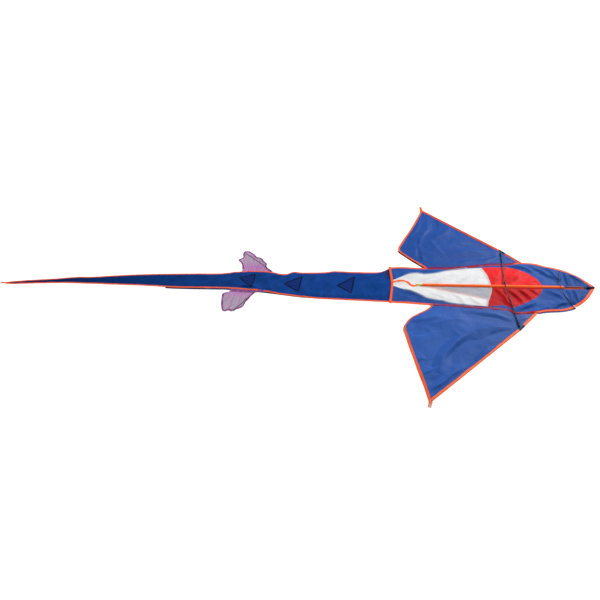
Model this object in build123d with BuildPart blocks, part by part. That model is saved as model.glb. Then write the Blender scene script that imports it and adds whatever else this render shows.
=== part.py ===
from build123d import *
import os

os.makedirs("parts", exist_ok=True)

# A framed single-line kite lying back up with its long tail laid out behind it.
# Millimetres. +X points to the nose, +Y to the kite's left, +Z up from the ground.
# Plan positions are measured forward from the seam that joins the tail to the body.

# Plan of the body
body_length = 1064
rear_half_width = 143
shoulder_x = 737
shoulder_half_width = 197
head_edge = (925, 142)

# Plan of one wing, the left; the right one mirrors it
wing_root_rear_x = 205
wing_tip = (183, 766)
wing_corner = (45, 338)
tip_tab_length = 24

# Plan of the tail: hinge stations, with the sideways drift of its middle line at each
tail_length = 2700
tail_half_width = 125
tail_stations = [(-8, -4), (-690, 12), (-1350, 15), (-2025, -3), (-tail_length, -48)]

# Cloth and tapes
cloth = 1.5
tape_width = 12
tape_depth = 4.5
panel_z = tape_depth - cloth
tail_tape_width = 10
tail_tape_depth = 2.4

# Coloured panels of the body
seam_peak_x = 543
seam_end_x = 500
colour_half_width = 150
red_shoulder_x = 630
red_front_x = 807
white_rear_x = 3
white_edge = [(130, 78), (300, 127)]

# Frame rods and their fittings
rod_radius = 2.5
rod_bore = 2.6
bow_radius = 1.5
spine_z = 9
sleeve_top = spine_z + 3.7
sleeve_rear_x = 172
sleeve_mouth_x = 910
spine_rear_x = 146
spine_front_x = 1042
edge_rod_z = 4.6
edge_bend = (637, 315)
edge_bend_radius = 680
edge_sleeve_radius = 4.4
rod_root_gap = 8
rod_tip_gap = 6
sleeve_opening = (42, 28)
connector_radius = 4.6
connector_bore = 3.1
connector_reach = (32, 10)
joiner = (612, 20, 16.5)
joiner_radius = 5
joiner_length = 16
spreader_end = (635, 298, 9.6)
boot_radius = 4.2
boot_length = 30
bow_end = (923, 138, 8.6)
bow_middle = (891, 0, sleeve_top + bow_radius + 0.3)

# Keel, folded flat under the right half of the body
keel_rear_x = 150
keel_front_x = 800
keel_base_y = -2
keel_apex = (590, -124)
apex_patch_y = -98
keel_z = 0.4
keel_tape_depth = 2.3
eyelet_centre = (590, -111)
eyelet_radius = 4
eyelet_flange = 7
eyelet_thickness = 2.6

# Running gaps at the sewn hinges
seam_gap = 1.0
fold_gap = 1.2
fin_gap = 2.4

rear_x = (tail_length - body_length) / 2
tail_seam = Vector(rear_x, 0, 0)
sides = {"left": 1, "right": -1}


def level(height):
    """A level plane whose X is measured forward from the tail seam."""
    return Plane((rear_x, 0, height))


def save(piece, node):
    """Names a finished piece and writes it as one STEP file."""
    piece.part.label = node
    export_step(piece.part, f"parts/{node}.step")


def toward(start, end, distance):
    """The point that lies the given distance from start, on the line towards end."""
    return Vector(start) + (Vector(end) - Vector(start)).normalized() * distance


def body_half_width(x):
    """Half width of the body between its rear and its shoulder."""
    return rear_half_width + (shoulder_half_width - rear_half_width) * x / shoulder_x


def rod_between(start, end, radius, bore=0):
    """A round rod, or a tube when it has a bore, between two points given from the tail seam."""
    run = Vector(end) - Vector(start)
    with Locations(Plane(Vector(start) + tail_seam, z_dir=run)):
        Cylinder(radius, run.length, align=(Align.CENTER, Align.CENTER, Align.MIN))
        if bore:
            Cylinder(
                bore,
                run.length,
                align=(Align.CENTER, Align.CENTER, Align.MIN),
                mode=Mode.SUBTRACT,
            )


# ---------------------------------------------------------------- body fabric

with BuildSketch() as body_outline:
    with BuildLine():
        Polyline((0, 0), (0, rear_half_width), (shoulder_x, shoulder_half_width))
        ThreePointArc((shoulder_x, shoulder_half_width), head_edge, (body_length, 0))
        mirror(about=Plane.XZ)
    make_face()

with BuildSketch() as panel_field:
    add(body_outline.sketch)
    offset(amount=-tape_width, kind=Kind.INTERSECTION, mode=Mode.REPLACE)

with BuildSketch() as red_field:
    with BuildLine():
        Polyline((seam_peak_x, 0), (seam_end_x, colour_half_width), (red_shoulder_x, colour_half_width))
        TangentArc((red_shoulder_x, colour_half_width), (red_front_x, 0), tangent=(1, 0))
        mirror(about=Plane.XZ)
    make_face()

with BuildSketch() as white_field:
    with BuildLine():
        Spline((white_rear_x, 0), *white_edge, (seam_end_x, colour_half_width))
        Line((seam_end_x, colour_half_width), (seam_peak_x, 0))
        mirror(about=Plane.XZ)
    make_face()

with BuildSketch() as front_field:
    with BuildLine():
        Polyline((seam_peak_x, 0), (seam_end_x, colour_half_width), (seam_end_x, body_length))
        Polyline((seam_end_x, body_length), (2 * body_length, body_length), (2 * body_length, 0))
        mirror(about=Plane.XZ)
    make_face()


def keep_side(sign):
    """Keeps the half of the sketch that lies on one side of the middle line."""
    with Locations((0, sign * body_length)):
        Rectangle(4 * body_length, 2 * body_length, mode=Mode.INTERSECT)


for side, sign in sides.items():
    with BuildPart() as head_panel:
        with BuildSketch(level(panel_z)):
            add(panel_field.sketch)
            add(front_field.sketch, mode=Mode.INTERSECT)
            add(red_field.sketch, mode=Mode.SUBTRACT)
            keep_side(sign)
        extrude(amount=cloth)
    save(head_panel, f"head_panel_{side}")

    with BuildPart() as red_panel:
        with BuildSketch(level(panel_z)):
            add(red_field.sketch)
            keep_side(sign)
        extrude(amount=cloth)
    save(red_panel, f"red_panel_{side}")

    with BuildPart() as white_panel:
        with BuildSketch(level(panel_z)):
            add(white_field.sketch)
            add(panel_field.sketch, mode=Mode.INTERSECT)
            keep_side(sign)
        extrude(amount=cloth)
    save(white_panel, f"white_panel_{side}")

    with BuildPart() as side_panel:
        with BuildSketch(level(panel_z)):
            add(panel_field.sketch)
            add(front_field.sketch, mode=Mode.SUBTRACT)
            add(white_field.sketch, mode=Mode.SUBTRACT)
            keep_side(sign)
        extrude(amount=cloth)
    save(side_panel, f"side_panel_{side}")

    with BuildPart() as body_edge_tape:
        with BuildSketch(level(0)):
            add(body_outline.sketch)
            add(panel_field.sketch, mode=Mode.SUBTRACT)
            keep_side(sign)
            with Locations((tape_width, 0)):
                Rectangle(body_length, body_length, align=(Align.MIN, Align.CENTER), mode=Mode.INTERSECT)
        extrude(amount=tape_depth)
    save(body_edge_tape, f"body_edge_tape_{side}")

with BuildPart() as rear_cross_tape:
    with BuildSketch(level(0)):
        add(body_outline.sketch)
        Rectangle(2 * tape_width, body_length, mode=Mode.INTERSECT)
    extrude(amount=tape_depth)
save(rear_cross_tape, "rear_cross_tape")

# A spare length of tape, slack in a zigzag, that pulls the end cap back
tension_route = [(6, 12), (40, 24), (72, 24), (112, -8), (122, -6)]
with BuildPart() as tension_tape:
    with BuildSketch(level(tape_depth + 0.3)):
        with BuildLine():
            Polyline(*tension_route)
        trace(line_width=tape_width - 2)
    extrude(amount=cloth)
save(tension_tape, "tension_tape")

# ---------------------------------------------------------------- spine and nose

sleeve_hem = 12
hem_top = tape_depth + 1.2
crown_half = 4.2

with BuildPart() as spine_sleeve:
    with BuildSketch(Plane.YZ.offset(rear_x + sleeve_rear_x)):
        with BuildLine():
            Polyline(
                (-crown_half, spine_z),
                (-sleeve_hem, hem_top),
                (-sleeve_hem, tape_depth),
                (sleeve_hem, tape_depth),
                (sleeve_hem, hem_top),
                (crown_half, spine_z),
            )
            ThreePointArc((-crown_half, spine_z), (0, sleeve_top), (crown_half, spine_z))
        make_face()
        with Locations((0, spine_z)):
            Circle(rod_bore, mode=Mode.SUBTRACT)
    extrude(amount=sleeve_mouth_x - sleeve_rear_x)
save(spine_sleeve, "spine_sleeve")

with BuildPart() as spine_rod:
    rod_between((spine_rear_x, 0, spine_z), (spine_front_x, 0, spine_z), rod_radius)
save(spine_rod, "spine_rod")

pocket_rear_x = 1008
nose_tape_half = 9
with BuildPart() as nose_tape:
    with BuildSketch(level(tape_depth)):
        with Locations((sleeve_mouth_x + 0.5, 0)):
            Rectangle(
                pocket_rear_x - sleeve_mouth_x - 1,
                2 * nose_tape_half,
                align=(Align.MIN, Align.CENTER),
            )
    extrude(amount=0.9)
save(nose_tape, "nose_tape")

cap_radius = 3.8
cap_grip = 12
cap_front_x = spine_front_x + 5
with BuildPart() as nose_cap:
    rod_between((spine_front_x - cap_grip, 0, spine_z), (cap_front_x, 0, spine_z), cap_radius)
    rod_end = Plane.YZ.offset(rear_x + spine_front_x)
    with BuildSketch(rod_end):
        with Locations((0, spine_z)):
            Circle(rod_bore)
    extrude(amount=-cap_grip, mode=Mode.SUBTRACT)
    fillet(nose_cap.edges().filter_by(GeomType.CIRCLE).sort_by(Axis.X)[-1], 2)
save(nose_cap, "nose_cap")

pocket_rear_half = 26
pocket_front_x = 1056
pocket_bore = cap_radius + 0.2
with BuildPart() as nose_pocket:
    with BuildSketch(level(tape_depth)):
        with BuildLine():
            Polyline(
                (pocket_rear_x, -pocket_rear_half),
                (pocket_front_x, -6),
                (pocket_front_x, 6),
                (pocket_rear_x, pocket_rear_half),
                close=True,
            )
        make_face()
    extrude(amount=sleeve_top + 0.8 - tape_depth, taper=25)
    with BuildSketch(Plane.YZ.offset(rear_x + cap_front_x + 0.4)):
        with Locations((0, spine_z)):
            Circle(pocket_bore)
    extrude(amount=-body_length / 10, mode=Mode.SUBTRACT)
save(nose_pocket, "nose_pocket")

# Cap on the rear end of the spine rod, pulled back by the tension tape
end_cap_rear_x = 138
end_cap_length = 30
end_cap_radius = 4.2
with BuildPart() as spine_end_cap:
    rod_between(
        (end_cap_rear_x, 0, spine_z),
        (end_cap_rear_x + end_cap_length, 0, spine_z),
        end_cap_radius,
    )
    with BuildSketch(Plane.YZ.offset(rear_x + spine_rear_x - 0.5)):
        with Locations((0, spine_z)):
            Circle(rod_bore + 0.1)
    extrude(amount=end_cap_length, mode=Mode.SUBTRACT)
    fillet(spine_end_cap.edges().filter_by(GeomType.CIRCLE).sort_by(Axis.X)[0], 1.5)
save(spine_end_cap, "spine_end_cap")

# ---------------------------------------------------------------- head bow

bow_left = Vector(bow_end) + tail_seam
bow_right = Vector(bow_left.X, -bow_left.Y, bow_left.Z)
with BuildPart() as head_bow:
    with BuildLine():
        bow_curve = ThreePointArc(bow_right, Vector(bow_middle) + tail_seam, bow_left)
    with BuildSketch(Plane(bow_curve @ 0, z_dir=bow_curve % 0)):
        Circle(bow_radius)
    sweep()
save(head_bow, "head_bow")

fitting_radius = 3
fitting_length = 18
bow_exits = {"left": (bow_left, bow_curve % 1), "right": (bow_right, (bow_curve % 0) * -1)}
for side, (bow_tip, outward) in bow_exits.items():
    with BuildPart() as bow_fitting:
        with BuildSketch(Plane(bow_tip + outward * 0.1, z_dir=outward)):
            Circle(fitting_radius)
        extrude(amount=fitting_length)
    save(bow_fitting, f"bow_fitting_{side}")

# ---------------------------------------------------------------- spreader

with BuildPart() as spreader_joiner:
    rod_between(
        (joiner[0], joiner[1] - joiner_length / 2, joiner[2]),
        (joiner[0], joiner[1] + joiner_length / 2, joiner[2]),
        joiner_radius,
    )
    fillet(spreader_joiner.edges().filter_by(GeomType.CIRCLE), 1.5)
save(spreader_joiner, "spreader_joiner")

# A small tie that holds the joiner beside the spine
tie_length = 24
tie_width = 5
tie_gap = 0.3
with BuildPart() as spreader_tie:
    with BuildSketch(level(tape_depth)):
        with Locations((joiner[0], sleeve_hem + tie_gap)):
            Rectangle(tie_width, tie_length, align=(Align.CENTER, Align.MIN))
    extrude(amount=joiner[2] - joiner_radius - tape_depth - tie_gap)
save(spreader_tie, "spreader_tie")

rod_start = joiner_length / 2 + 1.2
for side, sign in sides.items():
    outer_end = (spreader_end[0], sign * spreader_end[1], spreader_end[2])
    with BuildPart() as spreader_rod:
        rod_between(toward(joiner, outer_end, rod_start), toward(outer_end, joiner, 1), rod_radius)
    save(spreader_rod, f"spreader_rod_{side}")
    with BuildPart() as spreader_boot:
        rod_between(toward(outer_end, joiner, boot_length), outer_end, boot_radius, rod_bore)
    save(spreader_boot, f"spreader_boot_{side}")

# ---------------------------------------------------------------- wings

wing_root_rear = (wing_root_rear_x, body_half_width(wing_root_rear_x) + seam_gap)
wing_root_front = (shoulder_x, shoulder_half_width + seam_gap)
strip_half_width = connector_radius + 0.7

with BuildSketch() as wing_outline:
    with BuildLine():
        Polyline(wing_root_front, wing_root_rear, wing_corner, wing_tip, edge_bend, close=True)
    make_face()

with BuildSketch() as wing_field:
    with BuildLine():
        Polyline(
            (2 * shoulder_x, 0),
            toward(wing_root_rear, wing_corner, -60),
            wing_corner,
            toward(wing_tip, wing_corner, -60),
            close=True,
        )
    make_face()
    offset(amount=-tape_width, kind=Kind.INTERSECTION, mode=Mode.REPLACE)

with BuildSketch() as leading_strip:
    with BuildLine():
        Polyline(toward(wing_root_front, edge_bend, -20), edge_bend, toward(wing_tip, edge_bend, -20))
    trace(line_width=2 * strip_half_width)

tape_spans = {"root": (0, wing_corner[1]), "tip": (wing_corner[1], wing_tip[1])}
for side, sign in sides.items():
    with BuildPart() as wing_sail:
        with BuildSketch(level(panel_z)):
            add(wing_outline.sketch)
            add(wing_field.sketch, mode=Mode.INTERSECT)
            add(leading_strip.sketch, mode=Mode.SUBTRACT)
            if side == "right":
                mirror(about=Plane.XZ, mode=Mode.REPLACE)
        extrude(amount=cloth)
    save(wing_sail, f"wing_sail_{side}")

    for name, (inner_y, outer_y) in tape_spans.items():
        with BuildPart() as wing_tape:
            with BuildSketch(level(0)):
                add(wing_outline.sketch)
                add(wing_field.sketch, mode=Mode.SUBTRACT)
                add(leading_strip.sketch, mode=Mode.SUBTRACT)
                with Locations((shoulder_x, (inner_y + outer_y) / 2)):
                    Rectangle(2 * shoulder_x, outer_y - inner_y, mode=Mode.INTERSECT)
                if side == "right":
                    mirror(about=Plane.XZ, mode=Mode.REPLACE)
            extrude(amount=tape_depth)
        save(wing_tape, f"wing_{name}_tape_{side}")

    root = Vector(wing_root_front[0], sign * wing_root_front[1], edge_rod_z)
    bend = Vector(edge_bend[0], sign * edge_bend[1], edge_rod_z)
    tip = Vector(wing_tip[0], sign * wing_tip[1], edge_rod_z)

    # The rod is sprung out at the spreader, so it bends there between two straight runs
    with BuildPart() as leading_edge_rod:
        with BuildLine():
            bent_rod = FilletPolyline(
                toward(root, bend, rod_root_gap) + tail_seam,
                bend + tail_seam,
                toward(tip, bend, rod_tip_gap) + tail_seam,
                radius=edge_bend_radius,
            )
        with BuildSketch(Plane(bent_rod @ 0, z_dir=bent_rod % 0)):
            Circle(rod_radius)
        sweep(path=bent_rod)
    save(leading_edge_rod, f"leading_edge_rod_{side}")

    with BuildPart() as leading_edge_sleeve:
        inner_end = toward(bend, root, sleeve_opening[0])
        outer_end = toward(bend, tip, sleeve_opening[1])
        rod_between(toward(root, bend, rod_root_gap + 1), inner_end, edge_sleeve_radius, rod_bore)
        rod_between(outer_end, toward(tip, bend, rod_tip_gap + 4), edge_sleeve_radius, rod_bore)
    save(leading_edge_sleeve, f"leading_edge_sleeve_{side}")

    with BuildPart() as leading_edge_connector:
        inner_end = toward(bend, root, connector_reach[0])
        outer_end = toward(bend, tip, connector_reach[1])
        rod_between(inner_end, outer_end, connector_radius, connector_bore)
    save(leading_edge_connector, f"leading_edge_connector_{side}")

    with BuildPart() as tip_tab:
        with BuildSketch(level(0)):
            with Locations((wing_tip[0], sign * (wing_tip[1] + tip_tab_length / 2))):
                Rectangle(tape_width, tip_tab_length)
        extrude(amount=tape_depth)
    save(tip_tab, f"tip_tab_{side}")

# ---------------------------------------------------------------- keel

keel_rear = (keel_rear_x, keel_base_y)
keel_front = (keel_front_x, keel_base_y)

with BuildSketch() as keel_outline:
    with BuildLine():
        Polyline(keel_rear, keel_apex, keel_front, close=True)
    make_face()

with BuildSketch() as keel_field:
    with BuildLine():
        Polyline(
            toward(keel_rear, keel_apex, -60),
            keel_apex,
            toward(keel_front, keel_apex, -60),
            close=True,
        )
    make_face()
    offset(amount=-tape_width, kind=Kind.INTERSECTION, mode=Mode.REPLACE)


def keep_above_patch():
    """Keeps the part of a keel sketch between the keel's base and its apex patch."""
    with Locations((keel_apex[0], apex_patch_y)):
        Rectangle(body_length, body_length, align=(Align.CENTER, Align.MIN), mode=Mode.INTERSECT)


with BuildPart() as keel_sail:
    with BuildSketch(level(keel_z)):
        add(keel_outline.sketch)
        add(keel_field.sketch, mode=Mode.INTERSECT)
        keep_above_patch()
    extrude(amount=cloth)
save(keel_sail, "keel_sail")

tape_ends = {"rear": keel_rear_x, "front": keel_front_x}
for name, end_x in tape_ends.items():
    with BuildPart() as keel_tape:
        with BuildSketch(level(0)):
            add(keel_outline.sketch)
            add(keel_field.sketch, mode=Mode.SUBTRACT)
            keep_above_patch()
            with Locations(((keel_apex[0] + end_x) / 2, 0)):
                Rectangle(abs(end_x - keel_apex[0]), body_length, mode=Mode.INTERSECT)
        extrude(amount=keel_tape_depth)
    save(keel_tape, f"keel_{name}_tape")

# Reinforced apex with the eyelet that the flying line clips to
with BuildPart() as keel_apex_patch:
    with BuildSketch(level(0)):
        add(keel_outline.sketch)
        with Locations((keel_apex[0], apex_patch_y)):
            Rectangle(body_length, body_length, align=(Align.CENTER, Align.MIN), mode=Mode.SUBTRACT)
        with Locations(eyelet_centre):
            Circle(eyelet_flange, mode=Mode.SUBTRACT)
    extrude(amount=keel_tape_depth)
save(keel_apex_patch, "keel_apex_patch")

with BuildPart() as tow_eyelet:
    with BuildSketch(level(0)):
        with Locations(eyelet_centre):
            Circle(eyelet_flange)
            Circle(eyelet_radius, mode=Mode.SUBTRACT)
    extrude(amount=eyelet_thickness)
save(tow_eyelet, "tow_eyelet")

# ---------------------------------------------------------------- tail


def tail_point(x, sign, inset):
    """A point of the tail's plan: on one edge, or inset from it towards the middle."""
    for (front, front_y), (back, back_y) in zip(tail_stations, tail_stations[1:]):
        if x >= back:
            break
    middle = front_y + (back_y - front_y) * (front - x) / (front - back)
    half = tail_half_width * (1 + x / tail_length)
    return (x, middle + sign * max(half - inset, 0))


merge_x = -tail_length * (1 - tail_tape_width / tail_half_width)
segments = []
for number, (front, back) in enumerate(zip(tail_stations, tail_stations[1:]), start=1):
    front_x = front[0] - fold_gap
    back_x = back[0] + (fold_gap if back[0] > -tail_length else 0)
    segments.append((number, front_x, back_x))

for number, front_x, back_x in segments:
    inner_x = max(back_x, merge_x)
    with BuildPart() as tail_sail:
        with BuildSketch(level(0)):
            corners = [
                tail_point(front_x, 1, tail_tape_width),
                tail_point(inner_x, 1, tail_tape_width),
                tail_point(inner_x, -1, tail_tape_width),
                tail_point(front_x, -1, tail_tape_width),
            ]
            if inner_x == merge_x:
                corners.pop(2)
            with BuildLine():
                Polyline(*corners, close=True)
            make_face()
        extrude(amount=cloth)
    save(tail_sail, f"tail_sail_{number}")

    with BuildPart() as tail_edge_tape:
        for sign in sides.values():
            with BuildSketch(level(0)):
                corners = [
                    tail_point(front_x, sign, 0),
                    tail_point(back_x, sign, 0),
                    tail_point(inner_x, sign, tail_tape_width),
                    tail_point(front_x, sign, tail_tape_width),
                ]
                with BuildLine():
                    Polyline(*corners, close=True)
                make_face()
            extrude(amount=tail_tape_depth)
    save(tail_edge_tape, f"tail_edge_tape_{number}")

# Three triangles of darker cloth sewn on the tail, each pointing to its tip
patches = {"front": [(-228, -5, 75), (-550, -3, 70)], "rear": [(-853, 13, 61)]}
patch_length = 104
patch_depth = 0.8
for name, places in patches.items():
    with BuildPart() as tail_patches:
        for x, y, half in places:
            with BuildSketch(level(cloth)):
                with BuildLine():
                    Polyline((x, y + half), (x, y - half), (x - patch_length, y), close=True)
                make_face()
            extrude(amount=patch_depth)
    save(tail_patches, f"tail_patches_{name}")

# ---------------------------------------------------------------- tail fins

# Each fin as it lies: the front and rear ends of its root, then its tip
fin_plans = {"left": (-750, -1010, (-975, 285)), "right": (-816, -1020, (-915, -250))}
fin_rod_radius = 1.5
for side, sign in sides.items():
    root_front_x, root_rear_x, tip = fin_plans[side]
    front = tail_point(root_front_x, sign, -fin_gap)
    rear = tail_point(root_rear_x, sign, -fin_gap)
    with BuildPart() as tail_fin:
        with BuildSketch(level(0)):
            with BuildLine():
                Polyline(front, tip, rear, close=True)
            make_face()
            with BuildLine():
                Line(toward(front, tip, -10), toward(tip, front, -10))
            trace(line_width=2 * fin_rod_radius, mode=Mode.SUBTRACT)
        extrude(amount=cloth)
    save(tail_fin, f"tail_fin_{side}")
    with BuildPart() as fin_rod:
        lift = Vector(0, 0, fin_rod_radius)
        rod_between(toward(front, tip, 6) + lift, Vector(tip) + lift, fin_rod_radius)
    save(fin_rod, f"fin_rod_{side}")
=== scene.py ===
import bpy
import numpy as np
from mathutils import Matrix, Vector
from mathutils.geometry import delaunay_2d_cdt


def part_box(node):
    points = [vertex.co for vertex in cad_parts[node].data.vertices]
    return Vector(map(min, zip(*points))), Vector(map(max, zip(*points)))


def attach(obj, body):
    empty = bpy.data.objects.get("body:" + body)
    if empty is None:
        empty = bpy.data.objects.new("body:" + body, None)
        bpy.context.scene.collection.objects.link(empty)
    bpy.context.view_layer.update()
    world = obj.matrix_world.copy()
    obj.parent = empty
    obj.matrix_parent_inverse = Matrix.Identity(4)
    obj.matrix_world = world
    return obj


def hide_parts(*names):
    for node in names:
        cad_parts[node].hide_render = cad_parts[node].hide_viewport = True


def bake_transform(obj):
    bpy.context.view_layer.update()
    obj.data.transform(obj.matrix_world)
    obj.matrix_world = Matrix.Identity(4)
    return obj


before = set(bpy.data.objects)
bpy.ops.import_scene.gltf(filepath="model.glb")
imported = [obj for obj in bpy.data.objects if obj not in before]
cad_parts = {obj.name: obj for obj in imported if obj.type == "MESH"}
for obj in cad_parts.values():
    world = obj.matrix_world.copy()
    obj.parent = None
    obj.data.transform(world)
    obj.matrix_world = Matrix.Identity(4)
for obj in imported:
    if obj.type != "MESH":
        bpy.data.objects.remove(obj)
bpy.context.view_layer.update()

# ------------------------------------------------------------------ rods
# The spine, leading edges, spreader, head bow and fin battens are thin glass-fibre rods with a black skin.
# They are pulled to size, sanded lightly and cut, so the skin is dull with faint lines along it.


def join_nodes(tree, kind, inputs, **choices):
    """Adds one shader node with the given choices, and sets or links its inputs."""
    made = tree.nodes.new(kind)
    for name, value in choices.items():
        setattr(made, name, value)
    for name, value in inputs.items():
        if isinstance(value, bpy.types.NodeSocket):
            tree.links.new(value, made.inputs[name])
        else:
            made.inputs[name].default_value = value
    return made


def blank_finish(name):
    """A new material, its node tree and the socket that takes its surface."""
    made = bpy.data.materials.new(name)
    made.use_nodes = True
    tree = made.node_tree
    tree.nodes.clear()
    output = tree.nodes.new("ShaderNodeOutputMaterial")
    return made, tree, output.inputs["Surface"]


def two_tones(tree, mask, low, high):
    """A colour that goes from low to high with the mask."""
    mix = join_nodes(tree, "ShaderNodeMix", {"Factor": mask}, data_type="RGBA")
    mix.inputs[6].default_value = (*low, 1)
    mix.inputs[7].default_value = (*high, 1)
    return mix.outputs[2]


def moulded(name, low, high, roughness, grain, gloss=0.5):
    """A hard finish with a fine grain in its colour and surface."""
    made, tree, surface = blank_finish(name)
    place = join_nodes(tree, "ShaderNodeTexCoord", {}).outputs["Object"]
    speckle = join_nodes(tree, "ShaderNodeTexNoise", {"Vector": place, "Scale": grain, "Detail": 3.0})
    tone = two_tones(tree, speckle.outputs["Fac"], low, high)
    bump = join_nodes(
        tree,
        "ShaderNodeBump",
        {"Height": speckle.outputs["Fac"], "Strength": 0.25, "Distance": 0.0003},
    )
    skin = join_nodes(
        tree,
        "ShaderNodeBsdfPrincipled",
        {
            "Base Color": tone,
            "Roughness": roughness,
            "Specular IOR Level": gloss,
            "Normal": bump.outputs["Normal"],
        },
    )
    tree.links.new(skin.outputs[0], surface)
    return made


def dress(node, finish):
    """Gives a part of the frame its finish."""
    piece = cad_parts[node]
    if not piece.material_slots:
        piece.data.materials.append(finish)
    for place in piece.material_slots:
        place.material = finish


rod_skin = moulded("black_rod_skin", (0.003, 0.003, 0.004), (0.01, 0.01, 0.011), 0.42, 900, gloss=0.2)
for rod in (
    "spine_rod",
    "head_bow",
    "leading_edge_rod_left",
    "leading_edge_rod_right",
    "spreader_rod_left",
    "spreader_rod_right",
    "fin_rod_left",
    "fin_rod_right",
):
    dress(rod, rod_skin)

# ------------------------------------------------------------------ small fittings
# Black vinyl tubes and caps join the rods, white plastic ends hold the head bow,
# a lime cap pulls the spine back and a brass eyelet takes the line. All are pushed or pressed on.

vinyl = moulded("black_vinyl_tube", (0.004, 0.004, 0.005), (0.012, 0.012, 0.013), 0.55, 500, gloss=0.25)
for fitting in (
    "spreader_joiner",
    "spreader_boot_left",
    "spreader_boot_right",
    "leading_edge_connector_left",
    "leading_edge_connector_right",
    "nose_cap",
):
    dress(fitting, vinyl)

white_plastic = moulded("white_plastic", (0.62, 0.62, 0.6), (0.8, 0.8, 0.78), 0.4, 400)
for side in ("left", "right"):
    dress(f"bow_fitting_{side}", white_plastic)

dress("spine_end_cap", moulded("lime_plastic", (0.85, 0.9, 0.02), (0.95, 0.97, 0.06), 0.35, 400, gloss=0.2))

brass, brass_tree, brass_surface = blank_finish("eyelet_brass")
brass_place = join_nodes(brass_tree, "ShaderNodeTexCoord", {}).outputs["Object"]
scuffs = join_nodes(brass_tree, "ShaderNodeTexNoise", {"Vector": brass_place, "Scale": 700.0, "Detail": 4.0})
brass_tone = two_tones(brass_tree, scuffs.outputs["Fac"], (0.5, 0.34, 0.13), (0.75, 0.56, 0.26))
pressed = join_nodes(
    brass_tree,
    "ShaderNodeBsdfPrincipled",
    {"Base Color": brass_tone, "Metallic": 1.0, "Roughness": 0.34},
)
brass_tree.links.new(pressed.outputs[0], brass_surface)
dress("tow_eyelet", brass)

# ------------------------------------------------------------------ body panels
# The back of the body is ripstop nylon: blue sides and head round a white rear and a red front.
# The colours are cut out, laid edge over edge and sewn flat, then held slack between the spine and the tapes.

seam_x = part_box("rear_cross_tape")[0].x
cloth_grain = 0.005
panel_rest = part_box("side_panel_left")[0].z + 0.0008

left_edge = [
    (-0.014, 0.156), (0.05, 0.160), (0.13, 0.154), (0.2, 0.153), (0.3, 0.155), (0.4, 0.163), (0.47, 0.175),
    (0.54, 0.189), (0.6, 0.194), (0.66, 0.194), (0.71, 0.207), (0.76, 0.207), (0.81, 0.198), (0.86, 0.176),
    (0.91, 0.160), (0.96, 0.130), (1.01, 0.087), (1.045, 0.04), (1.064, 0.006),
]
right_edge = [
    (-0.012, -0.147), (0.08, -0.150), (0.2, -0.158), (0.3, -0.161), (0.4, -0.168), (0.5, -0.175),
    (0.58, -0.180), (0.608, -0.186), (0.622, -0.199), (0.65, -0.205), (0.74, -0.194), (0.79, -0.181),
    (0.86, -0.174), (0.91, -0.159), (0.96, -0.127), (1.0, -0.088), (1.035, -0.042), (1.064, 0.006),
]
white_rim = {
    "left": [
        (0.0, 0.040), (0.06, 0.072), (0.1, 0.095), (0.14, 0.102), (0.19, 0.095), (0.24, 0.100), (0.3, 0.124),
        (0.36, 0.140), (0.43, 0.150), (0.508, 0.158),
    ],
    "right": [
        (0.0, -0.006), (0.06, -0.034), (0.11, -0.052), (0.15, -0.075), (0.19, -0.100), (0.23, -0.112),
        (0.27, -0.118), (0.31, -0.132), (0.36, -0.144), (0.43, -0.151), (0.503, -0.157),
    ],
}
colour_seam = {
    "left": [(0.508, 0.158), (0.523, 0.12), (0.535, 0.07), (0.543, 0.002)],
    "right": [(0.503, -0.157), (0.511, -0.12), (0.526, -0.08), (0.541, -0.03), (0.543, 0.002)],
}
red_rim = {
    "left": [
        (0.508, 0.158), (0.56, 0.165), (0.61, 0.163), (0.65, 0.165), (0.695, 0.149), (0.74, 0.123),
        (0.775, 0.086), (0.797, 0.045), (0.807, 0.002),
    ],
    "right": [
        (0.503, -0.157), (0.55, -0.149), (0.585, -0.142), (0.602, -0.152), (0.622, -0.164), (0.65, -0.152),
        (0.69, -0.131), (0.735, -0.1), (0.77, -0.069), (0.793, -0.036), (0.807, 0.002),
    ],
}


def curve_through(points, step):
    """Points about a step apart on a smooth curve through the given plan points."""
    ends = [2 * np.array(points[0]) - points[1], 2 * np.array(points[-1]) - points[-2]]
    line = np.array([ends[0], *points, ends[1]], float)
    found = [line[1]]
    for before, start, end, after in zip(line, line[1:], line[2:], line[3:]):
        count = max(1, int(np.ceil(np.linalg.norm(end - start) / step)))
        t = (np.arange(count) + 1)[:, None] / count
        bend = 2 * before - 5 * start + 4 * end - after
        twist = 3 * start - before - 3 * end + after
        found.extend((2 * start + (end - before) * t + bend * t**2 + twist * t**3) / 2)
    return np.array(found)


def crumple(x, y, size, seed, cells=97):
    """Soft random rise and fall between -1 and 1, its bumps about size across."""
    grid = np.random.default_rng(seed).uniform(-1, 1, (cells, cells))
    u, v = x / size, y / size
    i, j = np.floor(u).astype(int), np.floor(v).astype(int)
    a, b = u - i, v - j
    a, b = a * a * (3 - 2 * a), b * b * (3 - 2 * b)
    here_x, here_y = i % cells, j % cells
    next_x, next_y = (i + 1) % cells, (j + 1) % cells
    low = grid[here_x, here_y] * (1 - a) + grid[next_x, here_y] * a
    high = grid[here_x, next_y] * (1 - a) + grid[next_x, next_y] * a
    return low * (1 - b) + high * b


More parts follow.
